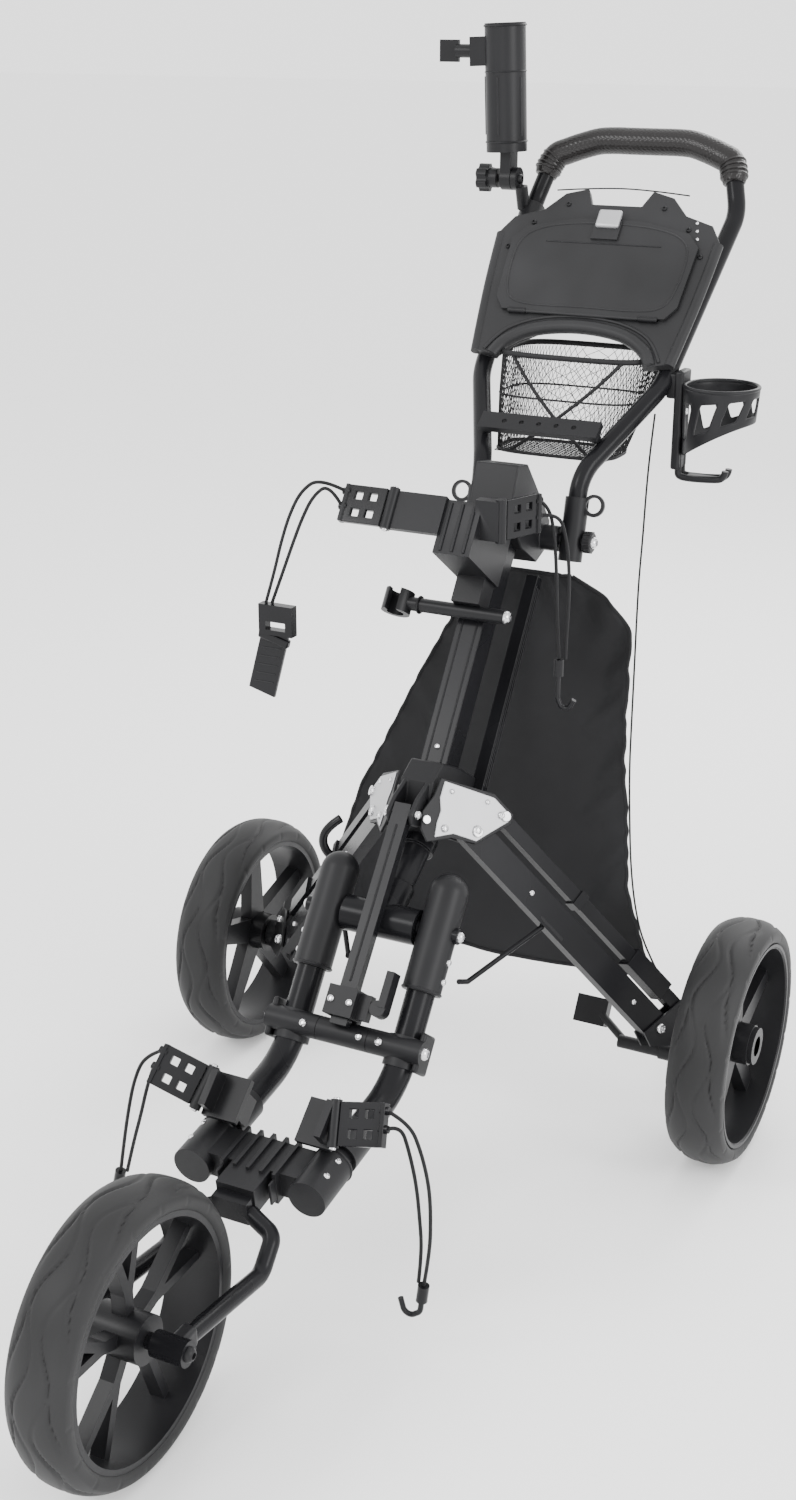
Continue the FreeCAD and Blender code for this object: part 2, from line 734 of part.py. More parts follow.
def nose_bracket():
    """Ribbed bracket between the tube ends, with a cap over each end and a block for the fork."""
    side = RIGHT * mm(size.front_tube_spread)
    cap_start = TUBE_END - FRONT_AHEAD * 52
    cap = between("nose_cap", size.front_tube_radius + 5, cap_start + side, TUBE_END + FRONT_AHEAD * 6 + side)
    socket = between("nose_socket", size.front_tube_radius, cap_start - FRONT_AHEAD + side, TUBE_END + side)
    middle = TUBE_END - FRONT_AHEAD * 26
    bridge = box("nose_bridge", 2 * mm(size.front_tube_spread) - 26, 30.0, 44.0,
                 place(middle - FRONT_AHEAD * 22, FRONT_AHEAD, RIGHT))
    block = box("nose_block", 44.0, 30.0, 40.0, place(middle + FRONT_AHEAD * 16, FRONT_AHEAD, RIGHT))
    ribs = [box("nose_rib_%d" % i, 4.0, 38.0, 56.0, place(middle - FRONT_AHEAD * 26 + RIGHT * x, FRONT_AHEAD, RIGHT))
            for i, x in enumerate((-30, -15, 0, 15, 30))]
    left_cap = mirror("nose_cap_left", cap)
    left_socket = mirror("nose_socket_left", socket)
    solid = fuse("nose_solid", bridge, block, cap, left_cap, *ribs)
    return node("nose_bracket", cut("nose_whole", solid, fuse("nose_sockets", socket, left_socket)))


FORK_HEAD = TUBE_END + FRONT_AHEAD * 30


def fork():
    """Two-legged tube fork with a hub block on each side and the front axle."""
    half_wheel = mm(size.wheel_width) / 2
    leg_x = half_wheel + 20
    points = [
        FORK_HEAD + Vector(6, 0, -6),
        FORK_HEAD + Vector(leg_x - 4, -12, -22),
        FORK_HEAD + Vector(leg_x, -44, -46),
        FRONT_AXLE + Vector(leg_x, 4, 0),
    ]
    right = bent_tube("fork_leg_right", points, [16.0, 22.0], size.fork_tube_radius)
    inner = half_wheel + mm(size.side_gap)
    hub = between("fork_hub_right", 13.0, FRONT_AXLE + RIGHT * inner, FRONT_AXLE + RIGHT * (leg_x + 16))
    head = box("fork_head", 40.0, 26.0, 22.0, place(FORK_HEAD - FRONT_AHEAD * 10 - UP * 6, FRONT_AHEAD, RIGHT))
    axle = between("front_axle", size.axle_radius, FRONT_AXLE - RIGHT * (inner + 5), FRONT_AXLE + RIGHT * (inner + 5))
    return node("fork", fuse("fork_whole", right, mirror("fork_leg_left", right), hub,
                             mirror("fork_hub_left", hub), head, axle))


LOWER_CRADLE = TUBE_END - FRONT_AHEAD * (68 + SIZES["front_tube_radius"])
LOWER_LEAN = Vector(0, -0.65, 0.76).normalize()
LOWER_HINGE = LOWER_CRADLE + LOWER_LEAN * 70 + RIGHT * (SIZES["front_tube_spread"] + 9)
LOWER_REACH = Vector(0.97, 0, 0.24).normalize()
LOWER_UPRIGHT = (RAIL - LOWER_REACH * RAIL.dot(LOWER_REACH)).normalize()


def lower_cradles():
    """Cradle blocks clamped on the two front tubes, each with an eye for its strap."""
    side = RIGHT * mm(size.front_tube_spread)
    clamp = between("lower_clamp", size.front_tube_radius + 4, LOWER_CRADLE - FRONT_AHEAD * 22 + side,
                    LOWER_CRADLE + FRONT_AHEAD * 22 + side)
    bore = between("lower_clamp_bore", size.front_tube_radius, LOWER_CRADLE - FRONT_AHEAD * 24 + side,
                   LOWER_CRADLE + FRONT_AHEAD * 24 + side)
    inner = side - RIGHT * 12
    post = box("lower_post", 24.0, 30.0, 42.0, place(LOWER_CRADLE + inner + LOWER_LEAN * 14, LOWER_LEAN, RIGHT))
    saddle = box("lower_saddle", 40.0, 48.0, 8.0, place(LOWER_CRADLE + inner + LOWER_LEAN * 50, LOWER_LEAN, RIGHT))
    wall = box("lower_wall", 8.0, 40.0, 34.0, place(LOWER_CRADLE + side + LOWER_LEAN * 46, LOWER_LEAN, RIGHT))
    eye = between("lower_eye", 6.0, LOWER_HINGE - LOWER_UPRIGHT * 24, LOWER_HINGE + LOWER_UPRIGHT * 24)
    right = cut("lower_cradle_right", fuse("lower_solid", clamp, post, saddle, eye, wall), bore)
    return node("lower_cradles", group("lower_cradle_pair", right, mirror("lower_cradle_left", right)))


# ---------------------------------------------------------------- brace

BRACE_END = BRACE_TO_BAR - 6
CLAMP_MIDDLE = BRACE_TO_BAR - 30
BRACE_SLACK = 3.8


def brace_bar():
    """Ridged bar that swings on the nose pin and slides through the clamp."""
    middle = place(NOSE_PIN, BRACE, RIGHT)
    half = size.brace_width / 2
    deep = size.brace_depth / 2
    corners = [
        (-half, -deep), (-3.0, -deep), (-3.0, -deep + 2), (3.0, -deep + 2), (3.0, -deep), (half, -deep),
        (half, deep), (-half, deep),
    ]
    body = new_body("brace_body", Placement(NOSE_PIN - BRACE * 9, middle.Rotation))
    pad(body, outline(body, "brace_section", corners), BRACE_END + 9)
    eye = between("brace_eye", size.pivot_pin_radius + size.running_gap, NOSE_PIN - RIGHT * 20, NOSE_PIN + RIGHT * 20)
    return node("brace_bar", cut("brace_whole", body, eye))


def slider_clamp():
    """Clamp that the brace slides through, on the middle segment of the crossbar."""
    segment = between("slider_segment", size.crossbar_radius, CROSSBAR - RIGHT * 30.4, CROSSBAR + RIGHT * 30.4)
    neck_foot = CROSSBAR - BRACE_OUT * 2
    neck = box("slider_neck", 22.0, 12.0, 46.0, place(neck_foot - BRACE * 46, BRACE, RIGHT))
    on_brace = NOSE_PIN + BRACE * (CLAMP_MIDDLE - 16)
    housing = box("slider_housing", size.brace_width + 14, size.brace_depth + 14 + BRACE_SLACK, 32.0,
                  place(on_brace + BRACE_OUT * (BRACE_SLACK / 2), BRACE, RIGHT))
    passage = box("slider_passage", size.brace_width + 1.2, size.brace_depth + 1.2 + BRACE_SLACK, 90.0,
                  place(on_brace - BRACE * 30 + BRACE_OUT * (BRACE_SLACK / 2), BRACE, RIGHT))
    ears = box("slider_ears", 14.0, 12.0, 28.0,
               place(on_brace + RIGHT * (mm(size.brace_width) / 2 + 13) + BRACE * 2, BRACE, RIGHT))
    bore = between("slider_bore", 6.0 + mm(size.running_gap), CROSSBAR - RIGHT * 32, CROSSBAR + RIGHT * 32)
    solid = fuse("slider_solid", segment, neck, housing, ears)
    return node("slider_clamp", cut("slider_whole", solid, fuse("slider_hollow", passage, bore)))


LEVER_PIVOT = NOSE_PIN + BRACE * (CLAMP_MIDDLE - 2) + RIGHT * (SIZES["brace_width"] / 2 + 30)


def cam_lever():
    """Cam lever that locks the brace in its clamp."""
    cam = between("lever_cam", 9.0, LEVER_PIVOT - BRACE_OUT * 8, LEVER_PIVOT + BRACE_OUT * 8)
    paddle = box("lever_paddle", 9.0, 18.0, 40.0, place(LEVER_PIVOT - BRACE * 2 + RIGHT * 4, -BRACE, RIGHT))
    return node("cam_lever", fuse("lever_whole", cam, paddle))


# ---------------------------------------------------------------- rear legs

def leg(label, cap_gap=12.0):
    """Flat rear leg with a pivot hole at each end."""
    half = size.leg_width / 2
    length = LEG_LENGTH
    corners = [
        (-14.0, -half + 5), (-8.0, -half), (length, -half), (length + cap_gap, -half + 9),
        (length + cap_gap, half - 9), (length, half), (-8.0, half), (-14.0, half - 5),
    ]
    plate = prism(label + "_plate", corners, size.leg_thickness, place(LEG_TOP, LEG_OUT, LEG))
    reach = LEG_OUT * 12
    hole = size.pivot_pin_radius + size.running_gap
    top = between(label + "_top_hole", hole, LEG_TOP - reach, LEG_TOP + reach)
    foot = between(label + "_foot_hole", hole, LEG_FOOT - reach, LEG_FOOT + reach)
    return cut(label + "_whole", plate, fuse(label + "_holes", top, foot))


def rod(label):
    """Slim rod above the leg, with its collar and end sleeve."""
    half = size.rod_width / 2
    corners = [(-8.0, -half), (LEG_LENGTH + 8, -half), (LEG_LENGTH + 8, half), (-8.0, half)]
    bar = prism(label + "_bar", corners, size.rod_width - 3, place(ROD_TOP, LEG_OUT, LEG))
    collar = box(label + "_collar", size.rod_width + 4, size.rod_width + 2, 12.0,
                 place(ROD_TOP + LEG * (0.40 * LEG_LENGTH), LEG, LEG_SIDE))
    sleeve = box(label + "_sleeve", size.rod_width + 8, size.rod_width + 4, 62.0,
                 place(ROD_TOP + LEG * (LEG_LENGTH - 98), LEG, LEG_SIDE))
    reach = LEG_OUT * 12
    hole = size.pivot_pin_radius + size.running_gap
    top = between(label + "_top_hole", hole, ROD_TOP - reach, ROD_TOP + reach)
    foot = between(label + "_foot_hole", hole, ROD_FOOT - reach, ROD_FOOT + reach)
    solid = fuse(label + "_solid", bar, collar, sleeve)
    return cut(label + "_whole", solid, fuse(label + "_holes", top, foot))


# Room above the rod's edge for the corner it raises as the bracket turns about it.
ROD_SWEEP = 5.0


def bracket(label):
    """Clevis that keeps the wheel upright, with its stub axle and cord hook."""
    offset = LEG_CLEAR + mm(size.plate_thickness) / 2
    centre = REAR_AXLE - RIGHT * (mm(size.wheel_width) / 2 + 7)
    inverse = place(LEG_FOOT, LEG_OUT, LEG).inverse()
    step = inverse.multVec(ROD_FOOT)
    wheel_side = inverse.multVec(centre)
    corners = [
        (-14.0, -18.0), (4.0, -24.0), (wheel_side.x - 2, wheel_side.y - 20), (wheel_side.x + 1, wheel_side.y + 2),
        (step.x + 14, step.y + 8), (step.x - 4, step.y + 15), (step.x - 14, step.y + 6),
    ]
    plates = [prism("%s_plate_%d" % (label, n), corners, size.plate_thickness,
                    place(LEG_FOOT + LEG_OUT * way * offset, LEG_OUT, LEG))
              for n, way in enumerate((-1, 1))]
    reach = LEG_OUT * (offset + 3)
    pins = [between(label + "_leg_pin", size.pivot_pin_radius, LEG_FOOT - reach, LEG_FOOT + reach),
            between(label + "_rod_pin", size.pivot_pin_radius, ROD_FOOT - reach, ROD_FOOT + reach)]
    inner = REAR_AXLE - RIGHT * (mm(size.wheel_width) / 2 + mm(size.side_gap) - 6)
    boss = between(label + "_boss", 17.0, inner - RIGHT * 20, inner)
    stub_end = REAR_AXLE + RIGHT * (mm(size.wheel_width) / 2 - 12)
    stub = between(label + "_stub", size.axle_radius, inner - RIGHT * 4, stub_end)
    hook_height = 14.0
    hook_middle = ROD_FOOT + LEG_SIDE * (mm(size.rod_width) / 2 + ROD_SWEEP + hook_height / 2)
    hook_depth = LEG_CLEAR + mm(size.plate_thickness)
    hook = box(label + "_hook", 8.0, hook_height, hook_depth, place(hook_middle, LEG_OUT, LEG))
    return fuse(label + "_whole", *plates, *pins, boss, stub, hook)


PEDAL_AXIS = REAR_AXLE + Vector(-107, 0, -36)


def brake_lug():
    """Lug under the right wheel bracket with the pin the pedal turns on."""
    lug = between("lug_barrel", 10.0, PEDAL_AXIS + RIGHT * 22, PEDAL_AXIS + RIGHT * 48)
    web = between("lug_web", 7.0, PEDAL_AXIS + RIGHT * 40, REAR_AXLE - RIGHT * 46)
    pin = between("lug_pin", 5.0, PEDAL_AXIS - RIGHT * 26, PEDAL_AXIS + RIGHT * 30)
    return [lug, web, pin]


def brake_pedal():
    """Foot pedal of the parking brake, on a tube beside the right wheel."""
    tube = between("pedal_tube", 8.0, PEDAL_AXIS - RIGHT * 30, PEDAL_AXIS + RIGHT * (22 - mm(size.side_gap)))
    arm = between("pedal_arm", 5.0, PEDAL_AXIS - RIGHT * 22, PEDAL_AXIS + Vector(-66, 26, 18))
    foot = box("pedal_foot", 40.0, 16.0, 34.0, place(PEDAL_AXIS + Vector(-76, 20, 2), Vector(0, 0.5, 0.87), RIGHT))
    bore = between("pedal_bore", 5.0 + mm(size.running_gap), PEDAL_AXIS - RIGHT * 32, PEDAL_AXIS + RIGHT * 32)
    return node("brake_pedal", cut("pedal_whole", fuse("pedal_solid", tube, arm, foot), bore))


def link(label):
    """Bent wire clipped on the leg, reaching towards the front tee."""
    start = LEG_TOP + LEG * (0.42 * LEG_LENGTH) - LEG_SIDE * (mm(size.leg_width) / 2)
    tip = at(76, -198, 256)
    wire = between(label + "_wire", 3.0, start + LEG_SIDE * 4, tip)
    hook = between(label + "_hook", 3.0, tip, tip + Vector(-6, -12, 4))
    knee = feature(label + "_knee", Part.makeSphere(3.0, tip))
    return fuse(label + "_whole", wire, hook, knee)


def rear_pairs():
    """Everything on the rear legs, right then left."""
    plain = bracket("bracket")
    pairs = {
        "leg": fuse("leg_with_link", leg("leg"), link("link")),
        "rod": rod("rod"),
        "bracket": plain,
    }
    for name, right in pairs.items():
        node(name + "_left", mirror(name + "_mirrored", right))
        if name != "bracket":
            node(name + "_right", right)
    node("bracket_right", fuse("bracket_with_lug", plain, *brake_lug()))
    tyre("rear_tyre_right", REAR_AXLE)
    rim("rear_rim_right", REAR_AXLE, wide_spoke, True)
    tyre("rear_tyre_left", flipped(REAR_AXLE))
    rim("rear_rim_left", flipped(REAR_AXLE), wide_spoke, False)


# ---------------------------------------------------------------- handle

HANDLE_POINTS = [
    HANDLE_PIVOT + Vector(62, 4, 17), at(62, 122, 764), at(116, 232, 850), at(134, 425, 1030),
    at(118, 446, 1085), at(60, 460, 1107),
]
HANDLE_RADII = [60.0, 100.0, 60.0, 50.0, 60.0]
LOWER_RUN = (at(62, 122, 764) - at(62, 104, 690)).normalize()


def handle_tube():
    """One tube bent into the handle's loop."""
    points = HANDLE_POINTS + [flipped(point) for point in reversed(HANDLE_POINTS)]
    radii = HANDLE_RADII + HANDLE_RADII[::-1]
    tube = bent_tube("handle_tube", points, radii, size.handle_tube_radius, size.handle_tube_wall)
    return node("handle_tube", tube)


def handle_sleeves():
    """Moulded sleeves at the feet of the handle, bored for the hinge pin, with a strap ring."""
    foot = at(62, 104, 690)
    outer = size.handle_tube_radius + size.sleeve_wall
    barrel = between("sleeve_barrel", outer, foot - LOWER_RUN * 24, foot + LOWER_RUN * 50)
    socket = between("sleeve_socket", size.handle_tube_radius, foot + LOWER_RUN * 17, foot + LOWER_RUN * 52)
    bore = between("sleeve_bore", 6.0 + mm(size.running_gap), foot - RIGHT * 20, foot + RIGHT * 20)
    ring = cylinder("ring_outside", 13.0, 4.0, place(foot + LOWER_RUN * 42 + RIGHT * 22, Vector(0, -1, 0.3), RIGHT))
    hole = cylinder("ring_inside", 9.0, 6.0, place(foot + LOWER_RUN * 42 + RIGHT * 22 + Vector(0, 1, 0),
                                                   Vector(0, -1, 0.3), RIGHT))
    right = cut("sleeve_right", fuse("sleeve_solid", barrel, ring), fuse("sleeve_hollow", socket, bore, hole))
    return node("handle_sleeves", group("sleeve_pair", right, mirror("sleeve_left", right)))


def handle_grip():
    """Padded grip on the bent top of the handle, with a ring winding at each end."""
    half = [at(124, 435, 1064), at(117, 447, 1086), at(60, 460, 1107)]
    points = half + [flipped(point) for point in reversed(half)]
    radii = [20.0, 60.0, 60.0, 20.0]
    path = rounded_path(points, radii)
    skin = swept(path, mm(size.grip_radius)).cut(swept(path, mm(size.handle_tube_radius)))
    return node("handle_grip", feature("grip", skin))


CONSOLE_FACE = mm(SIZES["console_thickness"]) + SIZES["handle_tube_radius"] - 4


def on_console(x, up, out=0.0):
    return CONSOLE_FOOT + RIGHT * x + CONSOLE_UP * up + CONSOLE_OUT * out


def console_place(out):
    """A plane parallel with the console's, with local Y up along it."""
    return place(on_console(0, 0, out), CONSOLE_OUT, RIGHT)


def console_panel():
    """Panel across the handle's two tubes, arched at its foot, grooved over the tubes."""
    right = [
        (size.console_half_bottom - 30, 0.0), (size.console_half_bottom, 6.0),
        (size.console_half_top, size.console_length), (size.console_half_top - 14, size.console_length + 22),
        (size.console_half_top - 50, size.console_length + 34), (70.0, size.console_length + 58),
        (42.0, size.console_length + 66), (32.0, size.console_length + 44),
    ]
    arch = [(0.0, 46.0), (46.0, 40.0), (78.0, 22.0)]
    corners = right + [(-x, y) for x, y in reversed(right)]
    corners += [(-x, y) for x, y in reversed(arch[1:])] + arch
    thick = size.console_thickness
    panel = prism("console_plate", corners, thick, console_place(CONSOLE_FACE - mm(thick) / 2))
    groove = between("console_groove", mm(size.handle_tube_radius) + 0.2, at(116, 232, 850), at(134, 425, 1030))
    grooves = fuse("console_grooves", groove, mirror("console_groove_left", groove))
    return node("console_panel", cut("console_whole", panel, grooves))


LID_HINGE = on_console(0, 60, CONSOLE_FACE + 3.2)


def console_lid():
    """Lid of the console's tray, hinged at its lower edge, with a latch at the top."""
    half = [(104.0, 61.0), (116.0, 78.0), (120.0, 160.0), (104.0, 178.0), (40.0, 192.0)]
    corners = half + [(-x, y) for x, y in reversed(half)]
    low = CONSOLE_FACE + mm(size.side_gap)
    plate = prism("lid_plate", corners, size.lid_thickness, console_place(low + mm(size.lid_thickness) / 2))
    latch = box("lid_latch", 34.0, 26.0, 7.0, place(on_console(0, 176, low), CONSOLE_OUT, RIGHT))
    barrel = between("lid_barrel", 2.2, LID_HINGE - RIGHT * 96, LID_HINGE + RIGHT * 96)
    return node("console_lid", fuse("lid_whole", plate, latch, barrel))


# Height of the tray bar's middle above the axes of the handle tubes.
TRAY_RISE = 25.0


def tray_bar():
    """Bar with five tee holes, on two short posts over the handle tubes."""
    centre = at(0, 143, 810)
    out = Vector(0, -0.616, 0.788)
    bar = box("tray_plate", 150.0, 24.0, 8.0, place(centre - out * 4, out, RIGHT))
    drop = out * (TRAY_RISE - mm(size.handle_tube_radius))
    posts = [between("tray_post_%d" % way, 6.0, centre + RIGHT * (68 * way) - drop, centre + RIGHT * (68 * way))
             for way in (-1, 1)]
    holes = [between("tee_hole_%d" % i, 3.0, centre + RIGHT * x - out * 6, centre + RIGHT * x + out * 6)
             for i, x in enumerate((-44, -22, 0, 22, 44))]
    return node("tray_bar", cut("tray_whole", fuse("tray_solid", bar, *posts), fuse("tee_holes", *holes)))


def pouch(inset, floor):
    """The net basket's outside, or the space inside it."""
    rings = [(96, 216, 330, 878), (90, 200, 300, 830), (76, 172, 252, floor)]
    wires = []
    for half, near, far, height in rings:
        lift = 1 if inset and height > 870 else 0
        x, front, back = half - inset, near + inset, far - inset
        corners = [at(-x, front, height + lift), at(x, front, height + lift), at(x, back, height + lift),
                   at(-x, back, height + lift)]
        wires.append(Part.makePolygon(corners + corners[:1]))
    return Part.makeLoft(wires, True, True)


def net_basket():
    """Open net basket behind the console's arch, on two hooks from the handle tubes."""
    shell = feature("basket_net", pouch(0, 768).cut(pouch(3, 771)))
    hook = between("basket_hook", 4.0, at(94, 262, 874), at(112, 250, 866))
    return node("net_basket", fuse("basket_whole", shell, hook, mirror("basket_hook_left", hook)))


BOTTLE_AXIS = at(184, 250, 0)


def bottle_cage():
    """Drink holder: a band round the bottle, a back rail on the handle tube, and a foot."""
    outer = size.bottle_radius + 4
    band = cylinder("cage_band", outer, size.bottle_band_height, place(BOTTLE_AXIS + UP * 803))
    inside = cylinder("cage_inside", size.bottle_radius, size.bottle_band_height + 2, place(BOTTLE_AXIS + UP * 802))
    ring = cut("cage_ring", band, inside)
    rail = box("cage_rail", 10.0, 30.0, 122.0, place(at(137, 250, 748)))
    arm = box("cage_arm", 22.0, 22.0, 20.0, place(at(128, 250, 846)))
    foot = box("cage_foot", 60.0, 26.0, 6.0, place(at(166, 250, 742)))
    toe = box("cage_toe", 6.0, 26.0, 18.0, place(at(196, 250, 742)))
    return node("bottle_cage", fuse("cage_whole", ring, rail, arm, foot, toe))


KNUCKLE = at(-160, 400, 1062)
HOLDER_AXIS = Vector(-6, 0, 145).normalize()
HOLDER_FOOT = at(-163, 400, 1094)


def umbrella_clamp():
    """Clamp on the left of the handle that carries the umbrella holder's knuckle."""
    run = (at(-134, 425, 1030) - at(-116, 232, 850)).normalize()
    centre = at(-132.6, 410, 1016)
    outer = between("clamp_ring", mm(size.handle_tube_radius) + 5, centre - run * 17, centre + run * 13)
    inner = between("clamp_bore", size.handle_tube_radius, centre - run * 19, centre + run * 15)
    arm = between("clamp_arm", 8.0, centre + Vector(-8, -4, 10), KNUCKLE + Vector(18, 0, -9))
    ear = between("clamp_ear", 14.0, KNUCKLE + RIGHT * 7.8, KNUCKLE + RIGHT * 15)
    pin = between("clamp_pin", 5.0, KNUCKLE - RIGHT * 12, KNUCKLE + RIGHT * 10)
    solid = fuse("clamp_solid", outer, arm, ear)
    return node("umbrella_clamp", fuse("clamp_whole", cut("clamp_hollow", solid, inner), pin))


def umbrella_holder():
    """Socket for an umbrella's shaft, on a knuckle that tilts."""
    outer = size.umbrella_bore_radius + size.umbrella_wall
    tube = cylinder("holder_tube", outer, size.umbrella_length, place(HOLDER_FOOT, HOLDER_AXIS))
    bore = cylinder("holder_bore", size.umbrella_bore_radius, size.umbrella_length,
                    place(HOLDER_FOOT + HOLDER_AXIS * 10, HOLDER_AXIS))
    cheek = between("holder_cheek", 14.0, KNUCKLE - RIGHT * 7, KNUCKLE + RIGHT * 7)
    neck = box("holder_neck", 14.0, 24.0, 36.0, place(KNUCKLE))
    block = box("holder_block", 22.0, 26.0, 34.0, place(HOLDER_FOOT + HOLDER_AXIS * 100 - RIGHT * 32, HOLDER_AXIS))
    pin_bore = between("holder_pin_bore", 5.0 + mm(size.running_gap), KNUCKLE - RIGHT * 9, KNUCKLE + RIGHT * 9)
    solid = fuse("holder_solid", tube, cheek, neck, block)
    return node("umbrella_holder", cut("holder_whole", solid, fuse("holder_hollow", bore, pin_bore)))


def star_knob():
    """Lobed knob that locks the holder's tilt."""
    foot = KNUCKLE - RIGHT * (12 + mm(size.side_gap))
    boss = between("star_boss", 12.0, foot, foot - RIGHT * 12)
    disc = between("star_disc", 17.0, foot - RIGHT * 12, foot - RIGHT * 26)
    notches = []
    for step in range(6):
        turn = math.radians(60 * step)
        offset = Vector(0, math.cos(turn), math.sin(turn)) * 20
        notches.append(between("star_notch_%d" % step, 6.0, foot + offset - RIGHT * 11, foot + offset - RIGHT * 28))
    return node("star_knob", cut("star_whole", fuse("star_solid", boss, disc), fuse("star_notches", *notches)))


WING_FOOT = HOLDER_FOOT + HOLDER_AXIS * 117 - RIGHT * 44


def wing_knob():
    """Wing screw that clamps the umbrella's shaft."""
    gap = mm(size.side_gap)
    boss = between("wing_boss", 8.0, WING_FOOT - RIGHT * gap, WING_FOOT - RIGHT * 22)
    wing = box("wing_blade", 26.0, 5.0, 26.0, place(WING_FOOT - RIGHT * 19, -RIGHT, UP))
    return node("wing_knob", fuse("wing_whole", boss, wing))


# ---------------------------------------------------------------- soft goods and cords

SHEET_FOOT = at(0, 0, 200)
SHEET_UP = Vector(0, 0.244, 1).normalize()
SHEET_CORNERS = [
    (-222, 8), (-185, 165), (-128, 300), (-75, 420), (-24, 462), (44, 466), (98, 446), (143, 405), (152, 285),
    (180, 100), (222, 8), (160, -3), (67, -2), (-25, 0), (-120, 2),
]


def storage_sheet():
    """Dark fabric sheet behind the frame, drawn here as a thin flat slab."""
    facing = RIGHT.cross(SHEET_UP)
    slab = prism("sheet_slab", SHEET_CORNERS, size.sheet_thickness, place(SHEET_FOOT, facing, RIGHT))
    return node("storage_sheet", slab)


UPPER_RIGHT_REACH = Vector(0.35, 0.93, 0).normalize()


def straps():
    """The four cradle straps: two on the upper cradle, two on the lower ones."""
    node("upper_strap_left", strap("upper_left", UPPER_LEFT_HINGE, -RIGHT, RAIL))
    node("upper_strap_right", strap("upper_right", UPPER_RIGHT_HINGE, UPPER_RIGHT_REACH, UP))
    right = strap("lower_right", LOWER_HINGE, LOWER_REACH, LOWER_UPRIGHT)
    node("lower_strap_left", mirror("lower_left", right))
    node("lower_strap_right", right)


def strap_end(hinge, reach, upright):
    """Where a cord leaves the tip of a strap, just off its end face."""
    return hinge + reach * (STRAP_START + STRAP_LENGTH + 0.4) + upright * 14


UPPER_LEFT_ROUTE = [
    strap_end(UPPER_LEFT_HINGE, -RIGHT, RAIL), at(-162, -95, 781), at(-184, -99, 765), at(-199, -100, 737),
    at(-211, -100, 703), at(-221, -100, 666), at(-233, -100, 629),
]
UPPER_RIGHT_ROUTE = [
    strap_end(UPPER_RIGHT_HINGE, UPPER_RIGHT_REACH, UP), at(71, 8, 752), at(80, 4, 724), at(88, -6, 686),
    at(94, -16, 648), at(99, -22, 616), at(102, -24, 589),
]
LOWER_RIGHT_ROUTE = [
    strap_end(LOWER_HINGE, LOWER_REACH, LOWER_UPRIGHT), at(156, -504, 263), at(172, -510, 238), at(182, -512, 202),
    at(184, -512, 164), at(183, -512, 124), at(177, -512, 85),
]
LOWER_LEFT_ROUTE = [
    flipped(strap_end(LOWER_HINGE, LOWER_REACH, LOWER_UPRIGHT)), at(-152, -504, 258), at(-163, -510, 229),
    at(-171, -512, 192), at(-179, -512, 152), at(-186, -512, 112),
]
ELASTIC_ROUTE = [
    at(117, 212, 823), at(121, 190, 781), at(127, 167, 737), at(134, 144, 692), at(140, 121, 648), at(147, 101, 603),
    at(153, 85, 547), at(158, 71, 492), at(163, 58, 437), at(171, 45, 382), at(180, 32, 328), at(192, 21, 280),
    at(208, 12, 240), at(230, 6, 210),
]


def cords():
    """The four bungee cords and the elastic cord at the sheet's right edge."""
    node("bungee_upper_left", cord("upper_left_cord", UPPER_LEFT_ROUTE, size.bungee_radius))
    node("bungee_upper_right", cord("upper_right_cord", UPPER_RIGHT_ROUTE, size.bungee_radius))
    node("bungee_lower_right", cord("lower_right_cord", LOWER_RIGHT_ROUTE, size.bungee_radius))
    node("bungee_lower_left", cord("lower_left_cord", LOWER_LEFT_ROUTE, size.bungee_radius))
    node("elastic_cord_right", cord("elastic_cord", ELASTIC_ROUTE, size.elastic_radius))


def webbing_buckle():
    """Buckle at the end of the upper left cord, with a loop of webbing below it."""
    top = UPPER_LEFT_ROUTE[-1] + Vector(15, 0, -0.4)
    frame = box("buckle_frame", 44.0, 12.0, 36.0, place(top - UP * 36))
    window = box("buckle_window", 26.0, 14.0, 10.0, place(top - UP * 30))
    web = box("buckle_webbing", 35.0, 4.0, 88.0, place(top - UP * 24, Vector(-0.27, 0, -1)))
    return node("upper_left_buckle", cut("buckle_whole", fuse("buckle_solid", frame, web), window))


def hook(label, start, points, radii):
    """A ferrule gripping the cord's end, and the bent hook below it."""
    down = (points[0] - start).normalize()
    ferrule = between(label + "_ferrule", 6.0, start + down * 0.4, start + down * 20)
    wire = bent_tube(label + "_wire", [start + down * 16] + points, radii, 3.0)
    return node(label, fuse(label + "_whole", ferrule, wire))


def hooks():
    """Clip hook of the upper right cord and the hooks of the two lower cords."""
    start = UPPER_RIGHT_ROUTE[-1]
    hook("upper_right_hook", start, [start + Vector(0, 0, -46), start + Vector(9, 0, -66), start + Vector(20, 0, -46)],
         [9.0, 7.0])
    start = LOWER_RIGHT_ROUTE[-1]
    hook("lower_right_hook", start, [start + Vector(-4, 0, -34), start + Vector(-20, 0, -46),
                                     start + Vector(-26, 0, -24)], [9.0, 8.0])
    start = LOWER_LEFT_ROUTE[-1]
    hook("lower_left_hook", start, [start + Vector(-8, 0, -34), start + Vector(8, 0, -48), start + Vector(16, 0, -30)],
         [9.0, 8.0])


# ---------------------------------------------------------------- the whole cart

